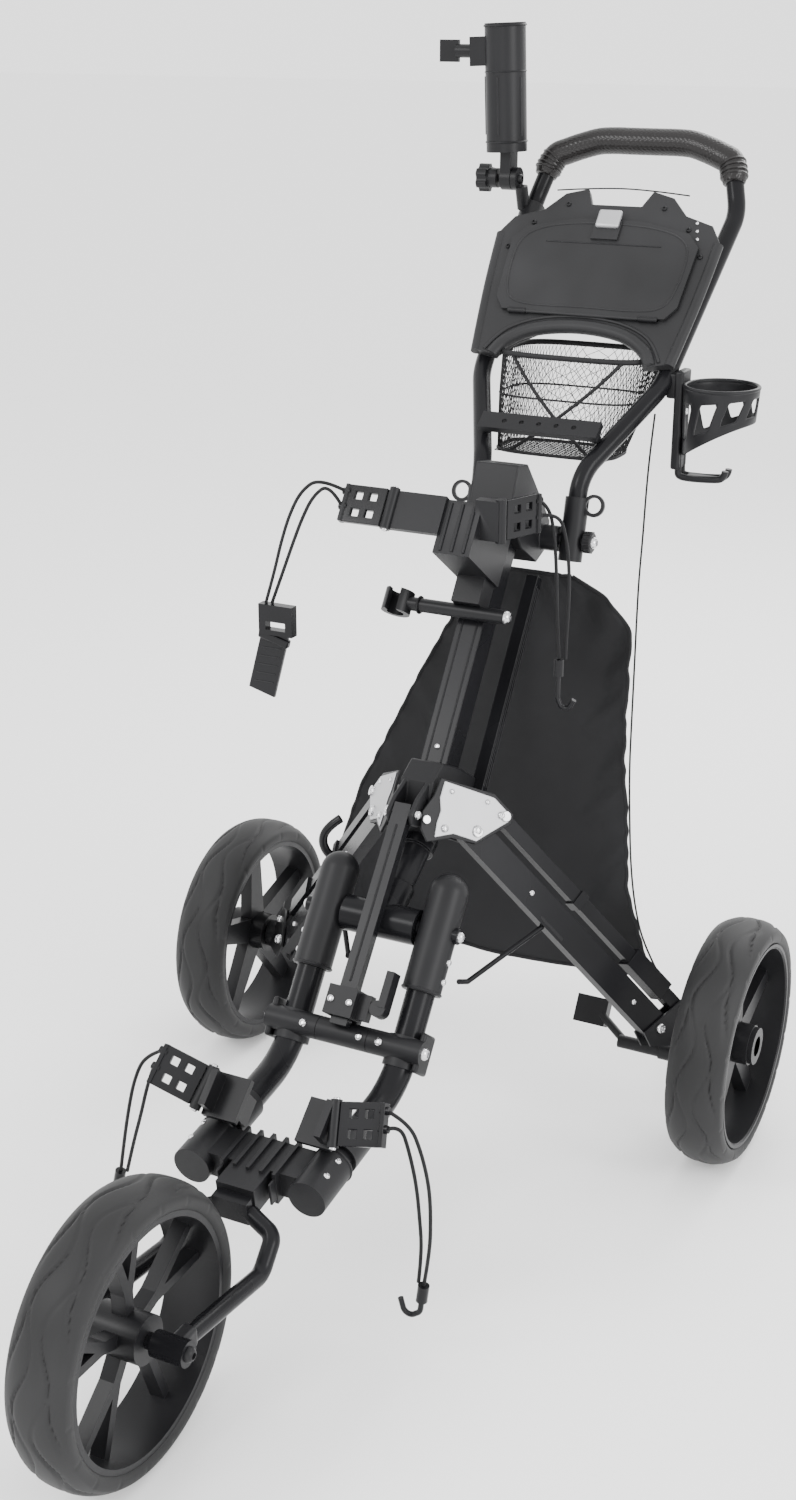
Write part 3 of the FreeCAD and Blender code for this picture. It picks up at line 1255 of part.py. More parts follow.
def build():
    main_rail()
    rear_bars()
    plates = gusset_plates()
    gusset_core(plates)
    gusset_covers()
    gusset_bolts()
    column()
    hinge_block()
    cradle_base()
    straps()
    tee_fittings()
    front_tubes()
    crossbar()
    nose_bracket()
    fork()
    lower_cradles()
    tyre("front_tyre", FRONT_AXLE)
    rim("front_rim", FRONT_AXLE, split_spoke, False)
    brace_bar()
    slider_clamp()
    cam_lever()
    rear_pairs()
    brake_pedal()
    handle_tube()
    handle_sleeves()
    handle_grip()
    console_panel()
    console_lid()
    tray_bar()
    net_basket()
    bottle_cage()
    umbrella_clamp()
    umbrella_holder()
    star_knob()
    wing_knob()
    storage_sheet()
    cords()
    webbing_buckle()
    hooks()


def check():
    """Stop if anything failed to recompute or holds no valid shape."""
    failed = [thing.Name for thing in doc.Objects if {"Invalid", "Error"} & set(thing.State)]
    for thing in doc.Objects:
        shape = getattr(thing, "Shape", None)
        if thing in NODES and (shape is None or shape.isNull() or not shape.isValid() or not shape.Solids):
            failed.append(thing.Label)
    if failed:
        raise RuntimeError("unsound: " + ", ".join(sorted(set(failed))))


def export():
    """Write one STEP file for each node."""
    os.makedirs("parts", exist_ok=True)
    for thing in NODES:
        thing.Shape.exportStep("parts/%s.step" % thing.Label)
    print("nodes written: %d" % len(NODES))


build()
doc.recompute()
check()
export()
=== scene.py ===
import json
import math
import random

import bmesh
import bpy
from mathutils import Matrix, Vector


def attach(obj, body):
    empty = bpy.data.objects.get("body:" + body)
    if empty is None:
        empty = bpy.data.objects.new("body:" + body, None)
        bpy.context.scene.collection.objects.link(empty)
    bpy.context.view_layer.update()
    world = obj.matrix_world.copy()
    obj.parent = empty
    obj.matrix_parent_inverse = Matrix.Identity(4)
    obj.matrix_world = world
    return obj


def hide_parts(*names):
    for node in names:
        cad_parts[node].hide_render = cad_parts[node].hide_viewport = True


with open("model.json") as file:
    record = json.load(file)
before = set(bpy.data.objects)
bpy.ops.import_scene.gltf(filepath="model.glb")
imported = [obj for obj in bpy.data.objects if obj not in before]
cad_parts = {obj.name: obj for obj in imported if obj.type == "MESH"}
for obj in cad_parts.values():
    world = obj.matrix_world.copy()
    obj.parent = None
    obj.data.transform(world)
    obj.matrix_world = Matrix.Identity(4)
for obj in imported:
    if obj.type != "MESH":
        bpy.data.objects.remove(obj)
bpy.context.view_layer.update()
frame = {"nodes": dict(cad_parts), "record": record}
NODES = frame["nodes"]

# Everything is in metres in the CAD's frame. The helper at() takes millimetres from the rear axle.
BEHIND = 222.0
RIGHT = Vector((1, 0, 0))
UP = Vector((0, 0, 1))


def at(x, y, z):
    """A point given by millimetres right of the middle, behind the rear axle and above the ground."""
    return Vector((x, y + BEHIND, z)) / 1000


def flipped(point):
    return Vector((-point.x, point.y, point.z))


RAIL_LEAN = math.radians(34.2)
RAIL = Vector((0, math.sin(RAIL_LEAN), math.cos(RAIL_LEAN)))
RAIL_BACK = Vector((0, math.cos(RAIL_LEAN), -math.sin(RAIL_LEAN)))
RAIL_FOOT = at(0, -126, 465)
FOLD_AXLE = at(0, -258, 342)
FRONT_DOWN = Vector((0, -0.597, -0.802)).normalized()
FRONT_AHEAD = Vector((0, -0.989, -0.148)).normalized()
FRONT_OUT = Vector((0, FRONT_DOWN.z, -FRONT_DOWN.y))
CROSSBAR = FOLD_AXLE + FRONT_DOWN * 0.132 + FRONT_OUT * 0.012
TUBE_END = FOLD_AXLE + FRONT_DOWN * 0.170 + FRONT_AHEAD * 0.190
FRONT_AXLE = at(0, -775, 146)
REAR_AXLE = at(325.5, 0, 146)
LEG_TOP = at(56, -150, 416)
LEG_FOOT = REAR_AXLE + Vector((-0.0785, -0.044, 0.018))
LEG = (LEG_FOOT - LEG_TOP).normalized()
LEG_OUT = FRONT_DOWN.cross(LEG).normalized()
LEG_SIDE = LEG_OUT.cross(LEG).normalized()
PLATE_FLAT = UP.cross(LEG_OUT).normalized()
PLATE_RISE = LEG_OUT.cross(PLATE_FLAT)
CONSOLE_FOOT = at(0, 240, 862)
CONSOLE_UP = Vector((0, 0.646, 0.763)).normalized()
CONSOLE_OUT = Vector((0, -0.763, 0.646)).normalized()
CONSOLE_FACE = 0.019
SAME_POINT = 1e-6
UPPER_LEFT_HINGE = RAIL_FOOT - RIGHT * 0.084 + RAIL * 0.264 - RAIL_BACK * 0.120
UPPER_RIGHT_HINGE = at(44, -62, 748)
UPPER_RIGHT_REACH = Vector((0.35, 0.93, 0)).normalized()
LOWER_LEAN = Vector((0, -0.65, 0.76)).normalized()
LOWER_HINGE = TUBE_END - FRONT_AHEAD * 0.084 + LOWER_LEAN * 0.070 + RIGHT * 0.076
LOWER_REACH = Vector((0.97, 0, 0.24)).normalized()
LOWER_UPRIGHT = (RAIL - LOWER_REACH * RAIL.dot(LOWER_REACH)).normalized()
NOSE_PIN = at(0, -210, 452)
HANDLE_PIVOT = at(0, 104, 690)
STRAP_LENGTH = 0.0592
STRAP_HALF_PIN = 0.0262
STRAP_PIN_RADIUS = 0.0036
UPPER_STRAND = 0.014
LOWER_STRAND = -0.004
BUNGEE_RADIUS = 0.002
ELASTIC_RADIUS = 0.0012
TUBE_SPREAD = 0.067


# ---------------------------------------------------------------- materials

def material(name, colour, rough, metal=0.0, grain=220.0, bump=0.12, spread=0.25, coat=0.0, sheen=0.2):
    """A plain finish with fine grain: uneven colour, uneven gloss and a little relief."""
    made = bpy.data.materials.new(name)
    made.use_nodes = True
    tree = made.node_tree
    shader = tree.nodes["Principled BSDF"]
    shader.inputs["Metallic"].default_value = metal
    shader.inputs["Coat Weight"].default_value = coat
    shader.inputs["Specular IOR Level"].default_value = sheen
    coordinates = tree.nodes.new("ShaderNodeTexCoord")
    fine = tree.nodes.new("ShaderNodeTexNoise")
    fine.inputs["Scale"].default_value = grain
    fine.inputs["Detail"].default_value = 4.0
    broad = tree.nodes.new("ShaderNodeTexNoise")
    broad.inputs["Scale"].default_value = 9.0
    ramp = tree.nodes.new("ShaderNodeValToRGB")
    ramp.color_ramp.elements[0].position = 0.3
    ramp.color_ramp.elements[1].position = 0.7
    ramp.color_ramp.elements[0].color = [c * (1 - spread) for c in colour] + [1]
    ramp.color_ramp.elements[1].color = [c * (1 + spread) for c in colour] + [1]
    gloss = tree.nodes.new("ShaderNodeMapRange")
    gloss.inputs["To Min"].default_value = max(0.05, rough - 0.08)
    gloss.inputs["To Max"].default_value = min(1.0, rough + 0.08)
    relief = tree.nodes.new("ShaderNodeBump")
    relief.inputs["Strength"].default_value = bump
    relief.inputs["Distance"].default_value = 0.0004
    link = tree.links.new
    link(coordinates.outputs["Object"], fine.inputs["Vector"])
    link(coordinates.outputs["Object"], broad.inputs["Vector"])
    link(broad.outputs["Fac"], ramp.inputs["Fac"])
    link(broad.outputs["Fac"], gloss.inputs["Value"])
    link(fine.outputs["Fac"], relief.inputs["Height"])
    link(ramp.outputs["Color"], shader.inputs["Base Color"])
    link(gloss.outputs["Result"], shader.inputs["Roughness"])
    link(relief.outputs["Normal"], shader.inputs["Normal"])
    return made


def woven(name, colour, rough, pitch, bump=0.5):
    """A cloth finish: two crossed sets of fine bands."""
    made = material(name, colour, rough, grain=400.0, bump=0.1)
    tree = made.node_tree
    coordinates = next(n for n in tree.nodes if n.type == "TEX_COORD")
    relief = next(n for n in tree.nodes if n.type == "BUMP")
    bands = []
    for direction in ("X", "Z"):
        band = tree.nodes.new("ShaderNodeTexWave")
        band.bands_direction = direction
        band.inputs["Scale"].default_value = pitch
        band.inputs["Distortion"].default_value = 0.4
        tree.links.new(coordinates.outputs["Object"], band.inputs["Vector"])
        bands.append(band)
    both = tree.nodes.new("ShaderNodeMath")
    both.operation = "MULTIPLY"
    tree.links.new(bands[0].outputs["Fac"], both.inputs[0])
    tree.links.new(bands[1].outputs["Fac"], both.inputs[1])
    tree.links.new(both.outputs["Value"], relief.inputs["Height"])
    relief.inputs["Strength"].default_value = bump
    return made


PAINT = material("satin_black_metal", (0.007, 0.007, 0.008), 0.26, bump=0.05, sheen=0.12)
CASTING = material("black_casting", (0.009, 0.009, 0.010), 0.44, grain=500.0, bump=0.2)
SILVER = material("silver_cover", (0.42, 0.42, 0.43), 0.42, metal=0.75, grain=300.0, bump=0.08, spread=0.12)
STEEL = material("steel_bolts", (0.62, 0.62, 0.63), 0.24, metal=1.0, bump=0.04, spread=0.1)
PLASTIC = material("black_plastic", (0.008, 0.008, 0.009), 0.40, grain=600.0, bump=0.2)
GLOSSY = material("strap_plastic", (0.006, 0.006, 0.007), 0.24, grain=300.0, bump=0.06)
CONSOLE = material("console_plastic", (0.017, 0.017, 0.018), 0.46, grain=900.0, bump=0.3)
LEATHER = material("grip_leather", (0.010, 0.009, 0.009), 0.36, grain=260.0, bump=0.3, coat=0.15)
TYRE = material("tyre_foam", (0.015, 0.015, 0.0155), 0.55, grain=420.0, bump=0.22)
NET = material("net_fabric", (0.012, 0.012, 0.013), 0.6)
FABRIC = woven("sheet_fabric", (0.011, 0.011, 0.012), 0.62, 420.0)
CORD = woven("cord_black", (0.010, 0.010, 0.011), 0.5, 700.0, bump=0.7)


# ---------------------------------------------------------------- making pieces

def dress(thing, finish, body=None):
    """Give a piece its finish and the body it rides on."""
    thing.data.materials.clear()
    thing.data.materials.append(finish)
    if body is not None:
        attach(thing, body)
    return thing


def soften(thing, width=0.0008, segments=2):
    """Round the hard edges a little."""
    edge = thing.modifiers.new("edges", "BEVEL")
    edge.width = width
    edge.segments = segments
    edge.limit_method = "ANGLE"
    edge.angle_limit = math.radians(35)
    edge.use_clamp_overlap = True
    edge.harden_normals = False
    return thing


def smooth(thing, angle=32):
    """Shade curved faces smooth and keep the edges crisp."""
    for face in thing.data.polygons:
        face.use_smooth = True
    thing.data.set_sharp_from_angle(angle=math.radians(angle))
    return thing


def from_bmesh(name, shape):
    data = bpy.data.meshes.new(name)
    shape.normal_update()
    shape.to_mesh(data)
    shape.free()
    thing = bpy.data.objects.new(name, data)
    bpy.context.scene.collection.objects.link(thing)
    return thing


def from_faces(name, points, faces):
    data = bpy.data.meshes.new(name)
    data.from_pydata([tuple(p) for p in points], [], faces)
    data.update()
    thing = bpy.data.objects.new(name, data)
    bpy.context.scene.collection.objects.link(thing)
    return thing


def turned(along, across=RIGHT):
    """A rotation whose Z runs along one direction and whose X is nearest to another."""
    z = along.normalized()
    x = (across - z * across.dot(z))
    x = x.normalized() if x.length > 1e-6 else z.orthogonal().normalized()
    return Matrix((x, z.cross(x), z)).transposed().to_4x4()


def block(name, centre, size, finish, body, along=UP, across=RIGHT, round_by=0.0015):
    """A block with rounded edges about its centre."""
    shape = bmesh.new()
    bmesh.ops.create_cube(shape, size=1.0)
    bmesh.ops.scale(shape, vec=size, verts=shape.verts)
    bmesh.ops.transform(shape, matrix=Matrix.Translation(centre) @ turned(along, across), verts=shape.verts)
    thing = from_bmesh(name, shape)
    soften(thing, round_by, 3)
    return dress(smooth(thing), finish, body)


def lathe(name, profile, origin, axis, finish, body, steps=40):
    """A turned piece: (radius, height) pairs spun about an axis."""
    frame_of = Matrix.Translation(origin) @ turned(axis)
    points, faces = [], []
    for step in range(steps):
        turn = 2 * math.pi * step / steps
        for radius, height in profile:
            points.append(frame_of @ Vector((radius * math.cos(turn), radius * math.sin(turn), height)))
    count = len(profile)
    for step in range(steps):
        after = (step + 1) % steps
        for row in range(count - 1):
            faces.append((step * count + row, after * count + row, after * count + row + 1,
                          step * count + row + 1))
    thing = from_faces(name, points, faces)
    merge(thing)
    return dress(smooth(thing, 38), finish, body)


def merge(thing):
    """Join the points that coincide and turn all faces outwards."""
    shape = bmesh.new()
    shape.from_mesh(thing.data)
    bmesh.ops.remove_doubles(shape, verts=shape.verts, dist=SAME_POINT)
    bmesh.ops.recalc_face_normals(shape, faces=shape.faces)
    shape.to_mesh(thing.data)
    shape.free()


def bolt(name, point, axis, body, radius=0.0042, finish=STEEL):
    """A dome-headed bolt with a round recess in its head."""
    r = radius
    profile = [
        (0.0, r * 0.35), (r * 0.42, r * 0.35), (r * 0.46, r * 0.72), (r * 0.7, r * 0.62), (r * 0.92,
                r * 0.36),
        (r, r * 0.1), (r, -r * 0.3), (0.0, -r * 0.3),
    ]
    return lathe(name, profile, point, axis, finish, body, steps=18)


def tube(name, points, radius, finish, body, closed=False):
    """A round bar along a path, as a mesh."""
    data = bpy.data.curves.new(name, "CURVE")
    data.dimensions = "3D"
    data.bevel_depth = radius
    data.bevel_resolution = 4
    data.resolution_u = 6
    data.use_fill_caps = True
    line = data.splines.new("NURBS")
    line.points.add(len(points) - 1)
    for slot, point in zip(line.points, points):
        slot.co = (*point, 1.0)
    line.order_u = 3
    line.use_endpoint_u = not closed
    line.use_cyclic_u = closed
    curve = bpy.data.objects.new(name, data)
    bpy.context.scene.collection.objects.link(curve)
    made = bpy.data.meshes.new_from_object(curve.evaluated_get(bpy.context.evaluated_depsgraph_get()))
    bpy.data.objects.remove(curve)
    thing = bpy.data.objects.new(name, made)
    bpy.context.scene.collection.objects.link(thing)
    return dress(smooth(thing, 50), finish, body)


def bar(name, start, end, radius, finish, body, edge=0.0008):
    """A round bar with softened ends."""
    length = (end - start).length
    profile = [
        (0.0, 0.0), (radius - edge, 0.0), (radius, edge), (radius, length - edge), (radius - edge,
                length), (0.0, length),
    ]
    return lathe(name, profile, start, end - start, finish, body, steps=32)


# ---------------------------------------------------------------- carried-over CAD pieces

FINISHES = {
    PAINT: ["main_rail", "rear_bars", "column", "leg_left", "leg_right", "rod_left", "rod_right",
            "front_tubes",
            "fork", "handle_tube", "brace_bar"],
    CASTING: ["gusset_core", "gusset_plates", "tee_fittings", "crossbar", "nose_bracket", "slider_clamp",
              "bracket_left", "bracket_right"],
    SILVER: ["gusset_covers"],
    STEEL: ["gusset_bolts"],
    PLASTIC: ["hinge_block", "cradle_base", "handle_sleeves", "tray_bar", "umbrella_clamp", "umbrella_holder",
              "star_knob", "wing_knob", "lower_cradles", "cam_lever", "brake_pedal", "front_rim",
              "rear_rim_left", "rear_rim_right"],
    GLOSSY: ["upper_strap_left", "upper_strap_right", "lower_strap_left", "lower_strap_right"],
    CONSOLE: ["console_panel", "console_lid"],
}
BROAD_EDGES = {"console_panel": 0.004, "console_lid": 0.0015, "hinge_block": 0.003, "gusset_core": 0.003,
               "nose_bracket": 0.002, "cradle_base": 0.002, "front_rim": 0.0016, "rear_rim_left": 0.0016,
               "rear_rim_right": 0.0016, "leg_left": 0.0025, "leg_right": 0.0025}


CORD_ENDS = ["upper_left_buckle", "upper_right_hook", "lower_right_hook", "lower_left_hook"]


def carry_over():
    """Rebuild the CAD's own pieces with joined faces, rounded edges and a finish."""
    bodies = {node: body for body, held in frame["record"]["behaviour"]["bodies"].items() for node in held}
    for name in CORD_ENDS:
        soften(NODES[name], 0.0008)
        dress(NODES[name], GLOSSY)
    for finish, names in FINISHES.items():
        for name in names:
            data = NODES[name].data.copy()
            thing = bpy.data.objects.new("finished_" + name, data)
            thing.matrix_world = NODES[name].matrix_world.copy()
            bpy.context.scene.collection.objects.link(thing)
            tidy = bmesh.new()
            tidy.from_mesh(data)
            bmesh.ops.remove_doubles(tidy, verts=tidy.verts, dist=1e-5)
            bmesh.ops.dissolve_limit(tidy, angle_limit=math.radians(1.0), verts=tidy.verts, edges=tidy.edges)
            bmesh.ops.recalc_face_normals(tidy, faces=tidy.faces)
            tidy.to_mesh(data)
            tidy.free()
            smooth(thing)
            soften(thing, BROAD_EDGES.get(name, 0.0008))
            weighted = thing.modifiers.new("shading", "WEIGHTED_NORMAL")
            weighted.keep_sharp = True
            dress(thing, finish, bodies[name])
            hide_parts(name)


# ---------------------------------------------------------------- tyres

WAVES = 9


def groove_depth(turn, side, across):
    """How deep the tread is cut at a turn about the axle and a distance across, in metres."""
    middle = side * (0.0105 + 0.0075 * math.sin(WAVES * turn + side * 0.9))
    fade = 0.5 + 0.5 * math.cos(WAVES * turn + side * 0.9 - 0.6)
    main = math.exp(-((across - middle) / 0.0017) ** 2) * (0.35 + 0.65 * fade)
    outer = side * (0.0235 + 0.004 * math.sin(WAVES * turn + side * 0.9 + 1.9))
    second = math.exp(-((across - outer) / 0.0015) ** 2) * (1 - fade)
    return 0.0024 * max(main, second)


def tyre_profile():
    """Points of the tyre's cross-section from one bead over the crown to the other: (across, radius)."""
    side = [(0.0305, 0.1222), (0.0325, 0.1240), (0.0334, 0.1275), (0.0335, 0.1310), (0.0325, 0.1345)]
    crown = []
    for step in range(33):
        across = 0.0318 - 0.0636 * step / 32
        drop = 0.0105 * (abs(across) / 0.0318) ** 2.6
        crown.append((across, 0.1460 - drop))
    return side + crown + [(-a, r) for a, r in reversed(side)]


def tyre(name, node, body, centre, mirrored):
    """Solid tyre with sweeping grooves cut round its tread, and small nicks on the sidewall."""
    profile = tyre_profile()
    around = 540
    points, faces = [], []
    for step in range(around):
        turn = 2 * math.pi * step / around
        for across, radius in profile:
            depth = 0.0
            if radius > 0.1350:
                depth = max(groove_depth(turn, 1, across), groove_depth(turn, -1, across))
            elif 0.1265 < radius:
                nick = max(0.0, math.cos(WAVES * 2 * turn)) ** 14
                depth = 0.0009 * nick
            across_now = across * (1 - 0.5 * depth / 0.0335) if radius <= 0.1350 else across
            reach = radius - depth
            points.append(centre + Vector((across_now * mirrored, reach * math.cos(turn),
                    reach * math.sin(turn))))
    count = len(profile)
    for step in range(around):
        after = (step + 1) % around
        for row in range(count):
            beside = (row + 1) % count
            faces.append((step * count + row, after * count + row, after * count + beside,
                          step * count + beside))
    thing = from_faces(name, points, faces)
    merge(thing)
    smooth(thing, 40)
    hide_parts(node)
    return dress(thing, TYRE, body)


def hub_details(name, centre, out, body, silver):
    """Hub rings and cap on the outer side of a wheel."""
    start = centre + RIGHT * out * 0.0265
    cap = [(0.0, 0.006), (0.012, 0.006), (0.0145, 0.0035), (0.019, 0.003), (0.021, 0.0), (0.021, -0.004)]
    lathe(name + "_cap", cap, start, RIGHT * out, PLASTIC, body, steps=48)
    if silver:
        ring = [(0.0150, 0.0036), (0.0158, 0.0046), (0.0182, 0.0044), (0.0188, 0.0030)]
        lathe(name + "_ring", ring, start, RIGHT * out, SILVER, body, steps=48)
    lip = [(0.1175, -0.004), (0.1165, 0.0), (0.1180, 0.0022), (0.1215, 0.0022), (0.1225, -0.001)]
    lathe(name + "_lip", lip, centre + RIGHT * out * 0.0300, RIGHT * out, PLASTIC, body, steps=96)


def wheels():
    tyre("tyre_front", "front_tyre", "front_wheel", FRONT_AXLE, 1)
    tyre("tyre_right", "rear_tyre_right", "rear_wheel_right", REAR_AXLE, 1)
    tyre("tyre_left", "rear_tyre_left", "rear_wheel_left", flipped(REAR_AXLE), -1)
    hub_details("rear_hub_right", REAR_AXLE, 1, "rear_wheel_right", True)
    hub_details("rear_hub_left", flipped(REAR_AXLE), -1, "rear_wheel_left", False)


# ---------------------------------------------------------------- handle

GRIP_PATH = [(124, 435, 1064), (120.5, 442, 1077), (114, 448.5, 1088), (101, 452.3, 1093.5),
             (84, 455.8, 1099.5),
             (62, 459.3, 1105.5), (42, 460, 1107), (20, 460, 1107), (0, 460, 1107)]


def resample(points, spacing):
    """Evenly spaced points along a smooth curve through the given ones."""
    fine = []
    for index in range(len(points) - 1):
        a = points[max(index - 1, 0)]
        b, c = points[index], points[index + 1]
        d = points[min(index + 2, len(points) - 1)]
        for step in range(24):
            t = step / 24
            fine.append(0.5 * ((2 * b) + (c - a) * t + (2 * a - 5 * b + 4 * c - d) * t * t
                               + (3 * b - a - 3 * c + d) * t * t * t))
    fine.append(points[-1])
    made, carried = [fine[0]], 0.0
    for before, after in zip(fine, fine[1:]):
        carried += (after - before).length
        if carried >= spacing:
            made.append(after)
            carried = 0.0
    if (made[-1] - fine[-1]).length > spacing * 0.3:
        made.append(fine[-1])
    return made


def swept_skin(name, path, radius_at, around, finish, body):
    """A skin about a path; radius_at gives the radius for a distance along and a turn about it."""
    points, faces = [], []
    reference = RIGHT.cross(path[1] - path[0]).normalized()
    distance = 0.0
    for index, point in enumerate(path):
        ahead = (path[min(index + 1, len(path) - 1)] - path[max(index - 1, 0)]).normalized()
        reference = (reference - ahead * reference.dot(ahead)).normalized()
        sideways = ahead.cross(reference)
        if index:
            distance += (point - path[index - 1]).length
        for step in range(around):
            turn = 2 * math.pi * step / around
            spoke = reference * math.cos(turn) + sideways * math.sin(turn)
            points.append(point + spoke * radius_at(distance, turn))
    for index in range(len(path) - 1):
        for step in range(around):
            after = (step + 1) % around
            faces.append((index * around + step, index * around + after, (index + 1) * around + after,
                          (index + 1) * around + step))
    faces.append(tuple(range(around)))
    faces.append(tuple(reversed(range((len(path) - 1) * around, len(path) * around))))
    thing = from_faces(name, points, faces)
    merge(thing)
    return dress(smooth(thing, 60), finish, body)


def grip():
    """Padded grip, braided all over, with a ring winding at each end."""
    right = [at(*point) for point in GRIP_PATH]
    path = resample(right + [flipped(point) for point in reversed(right[:-1])], 0.0014)
    length = sum((b - a).length for a, b in zip(path, path[1:]))
    strands = 9

    def braid(distance, turn):
        ends = min(distance, length - distance)
        taper = min(1.0, 0.84 + ends / 0.05)
        over = math.sin(strands * turn + distance * 520)
        under = math.sin(strands * turn - distance * 520)
        weave = max(abs(over), abs(under)) ** 0.7
        return 0.0153 * taper + 0.0014 * (weave - 0.4)

    thing = swept_skin("braided_grip", path, braid, 96, LEATHER, "handle")
    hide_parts("handle_grip")
    for side, ends in (("right", path[:40]), ("left", path[::-1][:40])):
        for turn in range(4):
            index = 5 + turn * 3
            along = (ends[index + 1] - ends[index]).normalized()
            lathe("winding_%s_%d" % (side, turn), ring_profile(0.0158, 0.0016), ends[index], along, LEATHER,
                  "handle", steps=40)


def ring_profile(radius, thick):
    """The closed cross-section of a ring."""
    return [(radius + thick * math.cos(t * math.pi / 4), thick * math.sin(t * math.pi / 4)) for t in range(9)]


def on_console(x, up, out=0.0):
    """A point on the console's face, in millimetres from its foot."""
    face = CONSOLE_FOOT + CONSOLE_OUT * CONSOLE_FACE
    return face + (RIGHT * x + CONSOLE_UP * up + CONSOLE_OUT * out) / 1000


def console():
    """Mouldings, screws, slots and latch of the console."""
    arch = [on_console(x, y, -3) for x, y in (
        (-101, 1), (-96, 14), (-84, 26), (-64, 38), (-36, 45), (0, 48), (36, 45), (64, 38), (84, 26), (96,
                14), (101, 1))]
    tube("arch_hood", arch, 0.0085, CONSOLE, "handle")
    hood = [on_console(x, y, 0) for x, y in ((-112, 6), (-100, 28), (-80, 44), (-46, 56), (0, 60), (46, 56),
            (80, 44),
                                             (100, 28), (112, 6))]
    tube("arch_bead", hood, 0.0022, CONSOLE, "handle")
    for way in (-1, 1):
        tube("panel_edge_%d" % way, [on_console(way * x, y, -4) for x, y in ((124, 4), (131, 60),
                (137, 120), (140, 170))],
             0.0065, CONSOLE, "handle")
        for index, (x, y) in enumerate(((62, 214), (124, 150), (100, 186))):
            bolt("panel_screw_%d_%d" % (way, index), on_console(way * x, y, 0.3), CONSOLE_OUT, "handle",
                 0.0032, PLASTIC)
    for index in range(3):
        bolt("panel_pin_%d" % index, on_console(108 + 3 * index, 196 - 11 * index, 0.2), CONSOLE_OUT,
             "handle", 0.0022,
             STEEL)
    tube("lid_slot", [on_console(x, 158, 4.7) for x in (-74, -70, -30, 0, 30, 70, 74)], 0.0009, GLOSSY,
         "console_lid")
    border = [(-108, 92), (-96, 72), (-60, 68), (0, 70), (60, 68), (96, 72), (108, 92), (112, 150),
              (98, 172), (60, 184),
              (0, 187), (-60, 184), (-98, 172), (-112, 150)]
    tube("lid_border", [on_console(x, y, 4.6) for x, y in border], 0.0012, CONSOLE, "console_lid",
         closed=True)
    block("latch_pad", on_console(0, 190, 9), (0.030, 0.024, 0.007), SILVER, "console_lid", CONSOLE_OUT,
          RIGHT, 0.003)
    for way in (-1, 1):
        bar("lid_hinge_%d" % way, on_console(way * 96, 60, 3.2), on_console(way * 72, 60, 3.2), 0.0034,
            PLASTIC, "handle")
    tube("basket_elastic", [on_console(-86, 238, -6), on_console(-30, 244, -6), on_console(30, 244, -6),
                            on_console(86, 238, -6)], 0.0009, CORD, "handle")


def basket_ring(level):
    """Corners of the net basket at a level from 0, its floor, to 1, its rim."""
    stops = [(0.0, 76, 172, 252, 769), (0.56, 90, 200, 300, 830), (1.0, 95, 216, 329, 877)]
    for (low, *a), (high, *b) in zip(stops, stops[1:]):
        if level <= high:
            t = (level - low) / (high - low)
            return [p + (q - p) * t for p, q in zip(a, b)]
    return stops[-1][1:]


def basket_point(level, turn):
    """A point on the basket's rounded wall."""
    half, near, far, height = basket_ring(level)
    x = math.copysign(abs(math.cos(turn)) ** 0.55, math.cos(turn)) * half
    y = math.copysign(abs(math.sin(turn)) ** 0.55, math.sin(turn)) * (far - near) / 2
    return at(x, (near + far) / 2 + y, height)


def basket():
    """Open net basket: knotted net walls and floor, a bound rim, and crossing seams."""
    around, rows = 96, 17
    points, faces = [], []
    for row in range(rows + 1):
        for step in range(around):
            shift = 0.5 if row % 2 else 0.0
            points.append(basket_point(row / rows, 2 * math.pi * (step + shift) / around))
    for row in range(0, rows - 1):
        odd = row % 2
        for step in range(around):
            after = (step + 1) % around
            left = (row + 1) * around + (step if odd else (step - 1) % around)
            middle = (row + 1) * around + (after if odd else step)
            if row + 2 <= rows:
                faces.append((row * around + step, middle, (row + 2) * around + step, left))
    thing = from_faces("basket_net", points, faces)
    threads = thing.modifiers.new("threads", "WIREFRAME")
    threads.thickness = 0.0011
    threads.use_even_offset = False
    dress(thing, NET, "handle")
    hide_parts("net_basket")
    floor_points, floor_faces = [], []
    across, deep = 26, 12
    for row in range(deep + 1):
        for column in range(across + 1):
            floor_points.append(at(-72 + 144 * column / across, 176 + 72 * row / deep, 769.5))
    for row in range(deep):
        for column in range(across):
            first = row * (across + 1) + column
            floor_faces.append((first, first + 1, first + across + 2, first + across + 1))
    floor = from_faces("basket_floor", floor_points, floor_faces)
    threads = floor.modifiers.new("threads", "WIREFRAME")
    threads.thickness = 0.0011
    dress(floor, NET, "handle")
    for name, level, radius in (("rim", 1.0, 0.0034), ("band", 0.56, 0.0012), ("foot", 0.01, 0.0022)):
        ring = [basket_point(level, 2 * math.pi * step / 40) for step in range(40)]
        tube("basket_" + name, ring, radius, NET, "handle", closed=True)
    for way in (-1, 1):
        tube("basket_seam_%d" % way, [basket_point(0.02, -1.57 + way * 0.5), basket_point(0.5,
                -1.57 - way * 0.1),
                                      basket_point(0.98, -1.57 - way * 0.6)], 0.0022, NET, "handle")
        tube("basket_arm_%d" % way, [at(way * 92, 270, 876), at(way * 102, 262, 873),
                at(way * 113, 250, 866)],
             0.0036, NET, "handle")


CAGE_COLUMNS, CAGE_ROWS = 96, 12
CAGE_AXIS = at(184, 250, 0)


